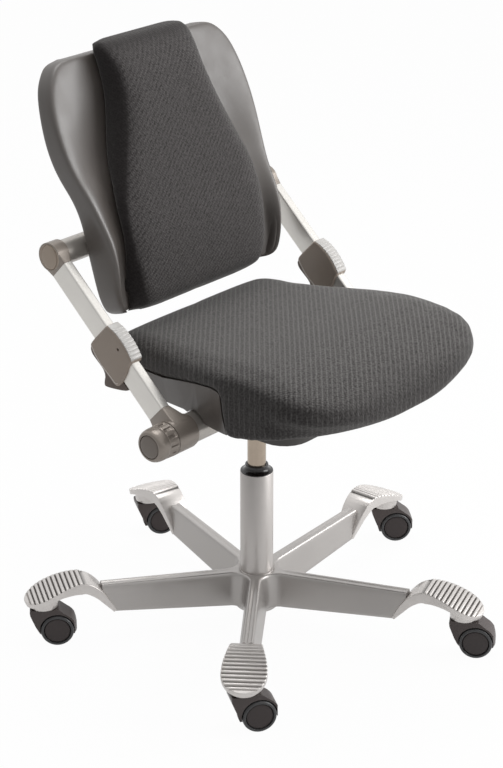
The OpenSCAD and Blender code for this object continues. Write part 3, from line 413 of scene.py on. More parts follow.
class Finishes:
    """Every finish of the chair, built once."""

    FINE = {"grain": 1500.0, "wear": 0.0, "tone": 0.03}
    HARD = (
        # The casting's light colour paints a reflection onto the foot plates' rib tops; its 'shade' share paints shade
        # into the rib valleys and darkens the legs.
        HardFinish(
            "silver_casting", (0.70, 0.668, 0.645), (0.8, 0.78, 0.76), 0.34, 0.6, 0.12, depth=0.000004, shade=0.85,
            **FINE,
        ),
        HardFinish("silver_column", (0.58, 0.55, 0.53), (0.7, 0.69, 0.68), 0.36, 0.6, depth=0.000001, **FINE),
        HardFinish("collar_black", (0.006, 0.0045, 0.004), (0.05, 0.05, 0.05), 0.2, 0.0, 0.1, wear=0.1),
        HardFinish("guide_black", (0.03, 0.03, 0.03), (0.08, 0.08, 0.08), 0.6),
        HardFinish("bright_steel", (0.40, 0.335, 0.27), (0.6, 0.56, 0.5), 0.24, 1.0, lines=(0.0, math.pi / 2, 0.0)),
        HardFinish("dark_metal", (0.075, 0.07, 0.066), (0.2, 0.19, 0.18), 0.5, 0.2),
        HardFinish("warm_grey_tube", (0.50, 0.47, 0.435), (0.58, 0.56, 0.54), 0.32, 0.55, 0.1, wear=0.15),
        HardFinish(
            "anodised_arm", (0.76, 0.738, 0.70), (0.92, 0.92, 0.91), 0.38, 0.72, grain=1600.0, depth=0.00001,
            tone=0.05, lines=(ARM_RISE, 0.0, math.pi / 2),
        ),
        HardFinish(
            "warm_grey_plastic", (0.205, 0.174, 0.150), (0.32, 0.29, 0.26), 0.44, depth=0.00006, wear=0.35, tone=0.06,
        ),
        HardFinish("hub_lacquer", (0.29, 0.252, 0.22), (0.40, 0.37, 0.34), 0.36, 0.4, 0.1, wear=0.2, tone=0.05),
        HardFinish("cap_plastic", (0.45, 0.37, 0.30), (0.52, 0.46, 0.40), 0.5, depth=0.00005, wear=0.2, tone=0.05),
        HardFinish("slider_plastic", (0.35, 0.29, 0.243), (0.45, 0.41, 0.37), 0.46, depth=0.00005, wear=0.2, tone=0.05),
        HardFinish("lever_plastic", (0.115, 0.085, 0.068), (0.2, 0.17, 0.15), 0.46, depth=0.00005, wear=0.2, tone=0.05),
        # A pale colour that paints a highlight line along each slider's rear edge.
        HardFinish("slider_painted_highlight", (0.86, 0.82, 0.78), (0.9, 0.88, 0.86), 0.4, wear=0.1),
        # The grip's colour is much lighter than the slider body's: painted light for the light that falls on the ribbed
        # grip from above.
        HardFinish(
            "lit_grip_plastic", (0.55, 0.535, 0.515), (0.6, 0.59, 0.57), 0.34, depth=0.00002, specular=0.6, wear=0.1,
            tone=0.04,
        ),
        HardFinish(
            "shell_plastic", (0.080, 0.068, 0.060), (0.14, 0.13, 0.12), 0.47, 0.0, 0.12, specular=1.0, grain=1000.0,
            depth=0.00005, tone=0.08, wear=0.2,
        ),
        HardFinish(
            "pan_plastic", (0.092, 0.08, 0.072), (0.16, 0.15, 0.14), 0.42, depth=0.00006, specular=0.6, wear=0.3,
        ),
        HardFinish("hood_plastic", (0.058, 0.043, 0.040), (0.12, 0.11, 0.10), 0.38, depth=0.00005, wear=0.3),
        HardFinish("wheel_tread", (0.042, 0.042, 0.044), (0.14, 0.14, 0.14), 0.36, 0.0, 0.2, wear=0.2),
        HardFinish("wheel_disc", (0.031, 0.021, 0.020), (0.08, 0.07, 0.07), 0.42, depth=0.00004, wear=0.2),
    )
    CLOTH = (
        ClothFinish(
            "seat_cloth", (0.020, 0.017, 0.017), (0.205, 0.198, 0.192), Pattern.SEAT,
            row=0.0070, dot=0.0034, sharp=3.0, gap=0.3, strength=0.9,
        ),
        ClothFinish(
            "back_cloth", (0.018, 0.015, 0.015), (0.160, 0.150, 0.148), Pattern.BACK,
            row=0.0060, dot=0.0032, sharp=1.4, gap=0.1, strength=0.5,
        ),
    )

    def __init__(self, effects: Effects) -> None:
        """Builds the materials from the shared groups."""
        self.of = {finish.name: finish.build(effects) for finish in self.HARD + self.CLOTH}

    def dress(self, piece: Piece, finish: str, body: str, slot: str, *nodes: str) -> Piece:
        """Gives a piece its finish and its body, and hides the CAD nodes it stands for.

        Args:
            piece: the piece.
            finish: its finish.
            body: the body it rides on.
            slot: its material slot in the record, which is not used.
            *nodes: the nodes it replaces.

        Returns:
            The piece.
        """
        piece.data.materials.clear()
        piece.data.materials.append(self.of[finish])
        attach(piece, body)
        if nodes:
            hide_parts(*nodes)
        return piece


def mix(first: float, second: float, share: float) -> float:
    """Returns the number that lies at a share of the way between two."""
    return first + (second - first) * share


def ease(share: float) -> float:
    """Returns a share between 0 and 1 with soft ends."""
    share = min(max(share, 0.0), 1.0)
    return share * share * (3.0 - 2.0 * share)


def table(value: float, rows: Iterable[tuple[float, float]]) -> float:
    """Reads a number from a short table, straight between its rows.

    Args:
        value: where to read.
        rows: pairs in rising order.

    Returns:
        The number.
    """
    for (low, first), (high, second) in zip(rows, rows[1:]):
        if value <= high:
            return mix(first, second, (max(value, low) - low) / (high - low))
    return rows[-1][1]


def new_piece(name: str, form: Form, smooth: float | None = 30.0) -> Piece:
    """Turns a bmesh into an object of the scene.

    Args:
        name: the piece's name.
        form: its mesh, which is freed.
        smooth: angle in degrees above which an edge stays sharp, or None for smooth all over.

    Returns:
        The object.
    """
    mesh = bpy.data.meshes.new(name)
    form.to_mesh(mesh)
    form.free()
    piece = bpy.data.objects.new(name, mesh)
    bpy.context.scene.collection.objects.link(piece)
    mesh.shade_smooth()
    if smooth is not None:
        mesh.set_sharp_from_angle(angle=math.radians(smooth))
    return piece


def modify(piece: Piece, kind: str, **values: object) -> None:
    """Adds a modifier with its values."""
    modifier = piece.modifiers.new(kind.lower(), kind)
    for key, value in values.items():
        setattr(modifier, key, value)


def apply_modifiers(piece: Piece) -> None:
    """Bakes a piece's modifiers into its mesh.

    Args:
        piece: the piece.
    """
    mesh = bpy.data.meshes.new_from_object(piece.evaluated_get(bpy.context.evaluated_depsgraph_get()))
    old = piece.data
    piece.modifiers.clear()
    piece.data = mesh
    bpy.data.meshes.remove(old)


def merged_copy(node: str, weld: float = 0.00002) -> Form:
    """Copies a CAD node's loose triangles into one joined skin.

    Args:
        node: the CAD node.
        weld: distance in metres under which its points are joined.

    Returns:
        The joined mesh.
    """
    form = bmesh.new()
    form.from_mesh(frame["nodes"][node].data)
    bmesh.ops.remove_doubles(form, verts=form.verts, dist=weld)
    return form


def rounded_copy(node: str, radius: float, sharp: float = math.radians(32.0)) -> Piece:
    """Copies a hard CAD node with its edges eased, as a moulding's or casting's are.

    Args:
        node: the CAD node.
        radius: width of the eased edges, metres.
        sharp: angle above which an edge is eased, radians.

    Returns:
        The piece.
    """
    form = merged_copy(node)
    bmesh.ops.dissolve_limit(form, angle_limit=math.radians(0.4), verts=form.verts, edges=form.edges)
    piece = new_piece(node + "_skin", form, math.degrees(sharp))
    modify(piece, "BEVEL", width=radius, segments=2, limit_method="ANGLE", angle_limit=sharp, harden_normals=True)
    return piece


def carried(form: Form, place: Matrix) -> Form:
    """Puts a form in place with its faces outward."""
    bmesh.ops.transform(form, matrix=place, verts=form.verts)
    bmesh.ops.recalc_face_normals(form, faces=form.faces)
    return form


def turned(profile: Iterable[tuple[float, float]], closed: bool, place: Matrix = HERE, steps: int = 72) -> Form:
    """Turns a profile about Z and puts it in place.

    Args:
        profile: points as radius and height.
        closed: whether the profile is a loop.
        place: where the turned form goes.
        steps: divisions round the turn.

    Returns:
        The mesh.
    """
    form = bmesh.new()
    points = [form.verts.new((radius, 0.0, height)) for radius, height in profile]
    edges = [form.edges.new(pair) for pair in zip(points, points[1:])]
    if closed:
        edges.append(form.edges.new((points[-1], points[0])))
    bmesh.ops.spin(
        form, geom=points + edges, cent=(0, 0, 0), axis=(0, 0, 1), dvec=(0, 0, 0), angle=math.tau, steps=steps,
        use_merge=True, use_duplicate=False,
    )
    bmesh.ops.remove_doubles(form, verts=form.verts, dist=0.00001)
    bmesh.ops.recalc_face_normals(form, faces=form.faces)
    return carried(form, place)


def thicken(form: Form, faces: list[bmesh.types.BMFace], way: Triple) -> None:
    """Extrudes faces a given way."""
    made = bmesh.ops.extrude_face_region(form, geom=faces)["geom"]
    bmesh.ops.translate(form, verts=[v for v in made if isinstance(v, bmesh.types.BMVert)], vec=way)


def slab(corners: Iterable[Triple], way: Triple) -> Form:
    """Makes a flat face and extrudes it.

    Args:
        corners: the face's corners.
        way: how far and which way it goes.

    Returns:
        The closed slab.
    """
    form = bmesh.new()
    thicken(form, [form.faces.new([form.verts.new(corner) for corner in corners])], way)
    return carried(form, HERE)


def rounded_outline(corners: Outline, rounds: int = 2) -> Outline:
    """Cuts the corners of an outline again and again, which rounds them.

    Args:
        corners: the outline.
        rounds: how often.

    Returns:
        The rounded outline.
    """
    for _ in range(rounds):
        cut = []
        for first, second in zip(corners, corners[1:] + corners[:1]):
            cut += [(mix(first[0], second[0], share), mix(first[1], second[1], share)) for share in (0.25, 0.75)]
        corners = cut
    return corners


def moulded(outline: Outline, low: float, high: float, rim: float, steps: int = 4) -> Form:
    """Extrudes an outline across X and rounds its two rims over.

    Args:
        outline: points of the side view as Y and Z.
        low: where it starts across.
        high: where it ends.
        rim: radius of the rounded rims.
        steps: rings in a rim.

    Returns:
        The mesh.
    """
    form = slab([(low + rim, *point) for point in outline], (high - low - 2 * rim, 0.0, 0.0))
    for cap in [face for face in form.faces if abs(face.normal.x) > 0.99 and len(face.verts) > 4]:
        for step in range(steps):
            first, second = (math.pi / 2 * (step + extra) / steps for extra in (0, 1))
            inwards, outwards = rim * (math.cos(first) - math.cos(second)), rim * (math.sin(second) - math.sin(first))
            bmesh.ops.inset_region(form, faces=[cap], thickness=inwards, depth=outwards, use_even_offset=True)
    return form


def carve(piece: Piece, cutter: Form) -> None:
    """Cuts a form out of a piece.

    Args:
        piece: the piece that is cut.
        cutter: what is cut away, which is freed.
    """
    tool = new_piece("cutter", cutter)
    modify(piece, "BOOLEAN", operation="DIFFERENCE", solver="EXACT", object=tool)
    apply_modifiers(piece)
    mesh = tool.data
    bpy.data.objects.remove(tool)
    bpy.data.meshes.remove(mesh)


def block(low: Triple, high: Triple) -> Form:
    """Makes a plain block between two corners, to cut with.

    Args:
        low: its lowest corner.
        high: its highest corner.

    Returns:
        The block.
    """
    form = bmesh.new()
    low, high = Vector(low), Vector(high)
    place = Matrix.Translation((low + high) / 2) @ Matrix.Diagonal((*(high - low), 1.0))
    bmesh.ops.create_cube(form, size=1.0, matrix=place)
    return form


def join(form: Form, part: Form, turns: Iterable[float] = (0.0,)) -> None:
    """Adds copies of a part to a form.

    Args:
        form: the mesh that grows.
        part: the part, which is freed.
        turns: turn of each copy about Z from the one before, degrees.
    """
    mesh = bpy.data.meshes.new("part")
    part.to_mesh(mesh)
    part.free()
    for turn in turns:
        mesh.transform(Matrix.Rotation(math.radians(turn), 4, "Z"))
        form.from_mesh(mesh)
    bpy.data.meshes.remove(mesh)


def mirrored_side(side: str) -> Matrix:
    """Returns the place of a form in millimetres on one side of the chair, its X outwards."""
    return MILLIMETRES @ Matrix.Diagonal((SIDES[side], 1.0, 1.0, 1.0))


@dataclass
class Cushion:
    """A foam cushion under cloth, blown out a little from its carved form, in metres."""

    node: str
    body: str
    finish: str
    rest: Vector
    voxel: float = 0.005
    shrink: float = 0.002
    cap: float = 0.006
    give: float = 0.35
    press: float = 0.0016
    pressure: float = 4.0
    frames: int = 20
    fullness: float = 0.85

    def build(self, finishes: Finishes) -> Piece:
        """Makes the cushion and dresses it.

        Args:
            finishes: the chair's finishes.

        Returns:
            The piece.
        """
        piece = new_piece(self.node + "_cover", merged_copy(self.node), None)
        self.fill(piece)
        finishes.dress(piece, self.finish, self.body, "fabric", self.node)
        return piece

    def fill(self, piece: Piece) -> None:
        """Remeshes the form, blows it out with cloth and smooths it.

        Args:
            piece: the cushion.
        """
        modify(piece, "REMESH", mode="VOXEL", voxel_size=self.voxel)
        apply_modifiers(piece)
        start = [vertex.co.copy() for vertex in piece.data.vertices]
        normals = [vertex.normal.copy() for vertex in piece.data.vertices]
        soft = [self.softness(normal) for normal in normals]
        for vertex, normal, share in zip(piece.data.vertices, normals, soft):
            vertex.co -= normal * self.shrink * share
        self.simulate(piece)
        for vertex, home, normal, share in zip(piece.data.vertices, start, normals, soft):
            move = vertex.co - home
            if move.length > self.cap:
                move *= self.cap / move.length
            vertex.co = home + move * share * self.give + normal * self.press * (1.0 - share)
        form = bmesh.new()
        form.from_mesh(piece.data)
        for _ in range(3):
            bmesh.ops.smooth_vert(form, verts=form.verts, factor=0.5, use_axis_x=True, use_axis_y=True, use_axis_z=True)
        form.to_mesh(piece.data)
        form.free()
        piece.data.shade_smooth()
        modify(piece, "SUBSURF", levels=1, render_levels=1)
        apply_modifiers(piece)

    def softness(self, normal: Vector) -> float:
        """Returns how freely a point may move, which is not at all on the face that rests on its carrier."""
        return min(max((0.55 - normal.dot(self.rest)) / 0.6, 0.0), 1.0)

    def simulate(self, piece: Piece) -> None:
        """Runs the cloth and keeps its last frame.

        Args:
            piece: the cushion.
        """
        cloth = piece.modifiers.new("cloth", "CLOTH")
        cloth.settings.use_pressure = True
        cloth.settings.uniform_pressure_force = self.pressure
        cloth.settings.effector_weights.gravity = 0.0
        cloth.settings.quality = 4
        cloth.collision_settings.use_collision = False
        cloth.point_cache.frame_start = 1
        cloth.point_cache.frame_end = self.frames
        for step in range(1, self.frames + 1):
            bpy.context.scene.frame_set(step)
        apply_modifiers(piece)
        bpy.context.scene.frame_set(1)


@dataclass
class BackShell:
    """The rolled plastic shell behind the back cushion."""

    fold: float = math.radians(40.0)
    skew: float = math.radians(60.0)
    levels: int = 2

    def build(self, finishes: Finishes) -> Piece:
        """Makes the shell as one smooth skin.

        Args:
            finishes: the chair's finishes.

        Returns:
            The piece.
        """
        form = merged_copy("back_shell")
        limits = {"angle_face_threshold": self.fold, "angle_shape_threshold": self.skew}
        bmesh.ops.join_triangles(form, faces=form.faces, **limits)
        piece = new_piece("back_shell_skin", form, None)
        modify(piece, "SUBSURF", levels=self.levels, render_levels=self.levels)
        return finishes.dress(piece, "shell_plastic", "backrest", "shell_plastic", "back_shell")


@dataclass
class HardParts:
    """The chair's plain rigid pieces: node, body, finish, slot and width of the eased edges in metres."""

    single: tuple[tuple[str, str, str, str, float], ...] = (
        ("column_collar", "base", "collar_black", "collar_black", 0.0006),
        ("gas_cylinder", "lift", "bright_steel", "steel", 0.0006),
        ("tilt_housing", "lift", "dark_metal", "dark_metal", 0.002),
        ("lower_cross_tube", "lift", "warm_grey_tube", "tube_paint", 0.0006),
        ("tube_end_cap", "lift", "warm_grey_plastic", "grey_plastic", 0.0012),
        ("seat_frame", "seat", "dark_metal", "dark_metal", 0.0015),
        ("seat_pan", "seat", "pan_plastic", "pan_plastic", 0.0015),
        ("upper_cross_tube", "arms", "warm_grey_tube", "tube_paint", 0.0006),
        ("back_bracket", "backrest", "dark_metal", "dark_metal", 0.001),
    )
    paired: tuple[tuple[str, str, str, str, float], ...] = (
        ("arm_bar_", "arms", "anodised_arm", "arm_aluminium", 0.0006),
        ("lower_hub_", "arms", "hub_lacquer", "grey_plastic", 0.0018),
        ("upper_hub_", "arms", "hub_lacquer", "grey_plastic", 0.0018),
    )
    kept: tuple[tuple[str, str], ...] = (
        ("steel", "bright_steel"), ("grey_plastic", "warm_grey_plastic"), ("tube_paint", "warm_grey_tube"),
        ("column_paint", "silver_column"), ("arm_aluminium", "anodised_arm"), ("fabric", "seat_cloth"),
    )

    def build(self, finishes: Finishes) -> list[Piece]:
        """Makes every piece.

        Args:
            finishes: the chair's finishes.

        Returns:
            The pieces.
        """
        rows = list(self.single) + [(row[0] + side, *row[1:]) for side in SIDES for row in self.paired]
        return [
            finishes.dress(rounded_copy(node, radius), finish, body, slot, node)
            for node, body, finish, slot, radius in rows
        ]

    def dress_rest(self, finishes: Finishes) -> None:
        """Gives each CAD node that stays the finish of its slot.

        Args:
            finishes: the chair's finishes.
        """
        slots = {row["node"]: row["material_slot"] for row in frame["record"]["subparts"]}
        for node, piece in frame["nodes"].items():
            material = finishes.of[dict(self.kept).get(slots[node], slots[node])]
            if not piece.data.materials:
                piece.data.materials.append(material)
            for index in range(len(piece.data.materials)):
                piece.data.materials[index] = material


@dataclass
class Caster:
    """One twin-wheel caster in metres: eased hood, and two wheels with a tread ring and a sunk disc."""

    number: int
    eased: float = 0.0024
    ring: Rows = (
        (0.0190, 0.0042), (0.0232, 0.0042), (0.0243, 0.0046), (0.0249, 0.0056), (0.0250, 0.0075), (0.0250, 0.0130),
        (0.0249, 0.0152), (0.0243, 0.0168), (0.0232, 0.0180), (0.0218, 0.0185), (0.0206, 0.0183), (0.0201, 0.0176),
        (0.0200, 0.0160), (0.0190, 0.0150),
    )
    disc: Rows = (
        (0.0, 0.0176), (0.010, 0.0175), (0.0170, 0.0173), (0.0186, 0.0170), (0.0194, 0.0162), (0.0197, 0.0150),
        (0.0197, 0.0060), (0.0040, 0.0060),
    )

    def build(self, finishes: Finishes) -> list[Piece]:
        """Makes the hood and both wheels.

        Args:
            finishes: the chair's finishes.

        Returns:
            The pieces.
        """
        node, body = f"caster_{self.number}_hood", f"swivel_{self.number}"
        made = [finishes.dress(rounded_copy(node, self.eased), "hood_plastic", body, "hood_plastic", node)]
        for side, sign in SIDES.items():
            node, body = f"caster_{self.number}_wheel_{side}", f"wheel_{self.number}_{side}"
            joint = next(joint for joint in frame["joints"] if joint["child"] == body)
            axle = Vector(joint["axis"]).normalized() * sign
            turn = Vector((0.0, 0.0, 1.0)).rotation_difference(axle).to_matrix().to_4x4()
            place = Matrix.Translation(Vector(joint["pos_m"])) @ turn
            tread = new_piece(node + "_tread", turned(self.ring, True, place), 40.0)
            disc = new_piece(node + "_disc", turned(self.disc, False, place), 40.0)
            made.append(finishes.dress(tread, "wheel_tread", body, "wheel_tread", node))
            made.append(finishes.dress(disc, "wheel_disc", body, "hood_plastic"))
        return made


@dataclass
class Column:
    """Painted tube round the gas lift, in millimetres."""

    foot: float = 24.0
    top: float = 244.0
    radius: float = 25.0
    wall: float = 2.0
    hole: float = 7.0
    eased: float = 0.6

    def build(self, finishes: Finishes) -> Piece:
        """Turns the tube.

        Args:
            finishes: the chair's finishes.

        Returns:
            The piece.
        """
        inner = self.radius - self.wall
        profile = (
            (self.hole, self.foot), (self.radius - self.eased, self.foot), (self.radius, self.foot + self.eased),
            (self.radius, self.top - self.eased), (self.radius - 0.5, self.top), (inner + 0.4, self.top),
            (inner, self.top - 0.4), (inner, self.foot + self.wall), (self.hole, self.foot + self.wall),
        )
        piece = new_piece("column_tube_skin", turned(profile, True, MILLIMETRES, 128), 40.0)
        return finishes.dress(piece, "silver_column", "base", "column_paint", "column_tube")


@dataclass
class Slider:
    """Slider for an arm pad, in millimetres in the arm's frame: rounded body, ribbed grip, lever and a pale strip that
    paints a highlight along the rear edge.
    """

    side: str
    across: float = 230.4
    half: float = 12.35
    low: float = 114.5
    top: float = 178.5
    arm_half: tuple[float, float] = (7.9, 17.95)
    slot: float = 6.5
    ribs: int = 10
    hole: Triple = (34.0, 141.7, 14.9)
    hole_radius: float = 2.2
    lever_half: float = 6.1
    rims: Triple = (3.4, 0.35, 1.4)
    inset: float = 1.9
    reach: tuple[float, float] = (60.0, 220.0)
    rear: Rows = (
        (112.8, 10.0), (108.4, 0.0), (105.6, -12.0), (103.8, -21.0), (104.6, -29.0), (110.0, -32.6), (120.0, -32.6),
        (133.0, -33.6), (143.0, -34.6), (156.0, -34.0), (168.0, -31.6), (176.8, -28.6), (178.6, -20.0), (178.5, 0.0),
        (178.5, 12.0),
    )
    lever: Rows = (
        (176.0, -33.0), (175.5, -37.0), (169.0, -40.7), (162.5, -41.2), (133.5, -39.0), (123.5, -57.0), (116.5, -54.0),
        (87.5, -20.0), (100.5, -20.0), (122.5, -21.0), (166.5, -29.0),
    )
    line: Rows = (
        (107.4, -24.0), (108.8, -27.4), (112.6, -28.9), (121.0, -29.1), (133.0, -30.0), (143.0, -31.0), (155.0, -30.4),
        (166.0, -28.2), (174.6, -25.6),
    )

    def bulge(self, share: float) -> float:
        """Returns how far the front edge stands out at a share of the slider's length."""
        return 21.8 + 6.4 * math.sin(math.pi * min(max(share, 0.0), 1.0)) ** 0.8

    def body_outline(self) -> Outline:
        """Returns the side view of the body."""
        front = [(self.top - (self.top - self.low) * i / 12, self.bulge(i / 12)) for i in range(13)]
        return rounded_outline(front + list(self.rear))

    def grip_outline(self) -> Outline:
        """Gives the side view of the grip, whose ribs start a little below its upper end.

        Returns:
            The outline.
        """
        length = self.top - self.low - 3.0
        steps = self.ribs * 8
        ribbed = []
        for i in range(steps + 1):
            walk = length * i / steps
            rib = 0.95 * (math.sin(math.pi * i / 8) ** 2) ** 0.3
            out = self.bulge((1.5 + walk) / (length + 3.0)) + 0.2 + rib * ease((walk - 6.0) / 5.0)
            ribbed.append((self.top - 1.5 - walk, out))
        return ribbed + [(self.low + 1.5, 20.0), (self.top - 1.5, 20.0)]

    def highlight_strip(self) -> Form:
        """Makes a fine pale strip along the rear edge, standing 0.1 mm proud of both flanks, whose colour paints the
        edge's highlight.

        Returns:
            The mesh.
        """
        form = bmesh.new()
        for face in (self.across - self.half - 0.1, self.across + self.half - 0.3):
            inner = [form.verts.new((face, along + 0.2, out + 0.85)) for along, out in self.line]
            outer = [form.verts.new((face, *point)) for point in self.line]
            corners = zip(inner, inner[1:], outer[1:], outer)
            thicken(form, [form.faces.new(four) for four in corners], (0.4, 0.0, 0.0))
        return form

    def build(self, finishes: Finishes) -> list[Piece]:
        """Makes the slider's pieces.

        Args:
            finishes: the chair's finishes.

        Returns:
            The pieces.
        """
        place = mirrored_side(self.side) @ Matrix.Translation((0.0, *LOWER_TUBE)) @ Matrix.Rotation(ARM_RISE, 4, "X")
        across, half, (wide, deep), (start, end) = self.across, self.half, self.arm_half, self.reach
        body_rim, grip_rim, lever_rim = self.rims
        body = moulded(self.body_outline(), across - half, across + half, body_rim)
        body = new_piece(f"slider_{self.side}_skin", carried(body, place))
        radius, shift = self.hole_radius, Vector((across, 0.0, 0.0)) + Vector(self.hole)
        rod = ((0.0, -30.0), (radius, -30.0), (radius, 30.0), (0.0, 30.0))
        for cutter in (
            block((across - wide, start, -deep), (across + wide, end, deep)),
            block((across - self.slot, start, -60.0), (across + self.slot, end, -deep + 1.0)),
            turned(rod, False, Matrix.Translation(shift) @ ACROSS, 20),
        ):
            carve(body, carried(cutter, place))
        body.data.set_sharp_from_angle(angle=math.radians(38.0))
        grip = moulded(self.grip_outline(), across - half + self.inset, across + half - self.inset, grip_rim, 2)
        lever = moulded(rounded_outline(self.lever), across - self.lever_half, across + self.lever_half, lever_rim)
        grip = new_piece(f"slider_grip_{self.side}_skin", carried(grip, place), 38.0)
        lever = new_piece(f"squeeze_lever_{self.side}_skin", carried(lever, place))
        # The pale strip is a painted highlight along the rear edge.
        highlight_strip = new_piece(f"slider_seam_{self.side}", carried(self.highlight_strip(), place))
        on_arm, slot = f"slider_body_{self.side}", "grey_plastic"
        return [
            finishes.dress(highlight_strip, "slider_painted_highlight", on_arm, slot),
            finishes.dress(body, "slider_plastic", on_arm, slot, f"slider_{self.side}"),
            finishes.dress(grip, "lit_grip_plastic", on_arm, slot, f"slider_grip_{self.side}"),
            finishes.dress(lever, "lever_plastic", f"lever_body_{self.side}", slot, f"squeeze_lever_{self.side}"),
        ]


@dataclass
class Knob:
    """Tension knob in millimetres: fluted skirt, fat rounded front and an inset disc."""

    start: float = 246.05
    flutes: int = 13
    depth: float = 2.0
    rim: Rows = (
        (6.1, 0.0), (24.0, 0.0), (24.8, 0.5), (25.0, 1.2), (25.0, 2.2), (24.9, 3.4), (24.8, 6.0), (24.6, 10.0),
        (24.5, 14.0), (24.4, 16.5), (24.3, 18.0), (24.0, 18.4), (24.1, 19.0), (24.4, 19.6), (24.4, 23.0), (24.2, 27.0),
        (23.7, 30.4), (22.7, 33.2), (21.2, 35.3), (19.6, 36.4), (18.2, 36.7), (17.6, 36.5), (17.3, 35.6), (17.2, 33.0),
        (6.1, 33.0),
    )
    disc: Rows = (
        (0.0, 37.9), (6.0, 37.8), (11.0, 37.5), (14.0, 37.2), (15.6, 36.8), (16.4, 36.2), (16.7, 35.4), (16.8, 34.6),
        (16.8, 33.1), (0.0, 33.1),
    )

    def build(self, finishes: Finishes) -> list[Piece]:
        """Makes the knob and its disc.

        Args:
            finishes: the chair's finishes.

        Returns:
            The pieces.
        """
        skirt = turned(self.rim, True, steps=self.flutes * 10)
        for vertex in skirt.verts:
            wide, along = vertex.co.xy.length, vertex.co.z
            if wide > 20.0 and along < 18.5:
                wave = math.cos(self.flutes * math.atan2(vertex.co.y, vertex.co.x))
                cut = ease((wave + 0.1) / 0.5) * ease((along - 1.6) / 1.2) * ease((17.2 - along) / 2.0)
                vertex.co.xy *= 1.0 - self.depth * cut / wide
        place = MILLIMETRES @ Matrix.Translation((-self.start, *LOWER_TUBE)) @ ACROSS.inverted()
        knob = new_piece("tension_knob_skin", carried(skirt, place), 42.0)
        disc = new_piece("knob_disc_skin", turned(self.disc, False, place), 42.0)
        return [
            finishes.dress(knob, "hub_lacquer", "knob", "grey_plastic", "tension_knob"),
            finishes.dress(disc, "warm_grey_plastic", "knob", "grey_plastic", "knob_disc"),
        ]


@dataclass
class HubCap:
    """Oval cover on the outer face of an upper hub, in millimetres."""

    side: str
    face: float = 237.35
    oval: float = 18.7
    squeeze: float = 0.82
    profile: Rows = (
        (0.0, 3.4), (9.0, 3.3), (14.0, 3.1), (16.6, 2.7), (17.6, 2.1), (17.9, 1.3), (17.95, 0.2), (18.55, 0.2),
        (18.6, 1.3), (18.75, 1.65), (18.9, 1.65), (18.9, 0.1), (0.0, 0.1),
    )

    def build(self, finishes: Finishes) -> Piece:
        """Makes the cover.

        Args:
            finishes: the chair's finishes.

        Returns:
            The piece.
        """
        form = turned(self.profile, False, steps=64)
        for vertex in form.verts:
            if vertex.co.xy.length < self.oval:
                vertex.co.y *= self.squeeze
        place = mirrored_side(self.side) @ Matrix.Translation((self.face, *UPPER_TUBE)) @ ACROSS
        piece = new_piece(f"upper_cap_{self.side}_skin", carried(form, place), 40.0)
        return finishes.dress(piece, "cap_plastic", "arms", "grey_plastic", f"upper_cap_{self.side}")


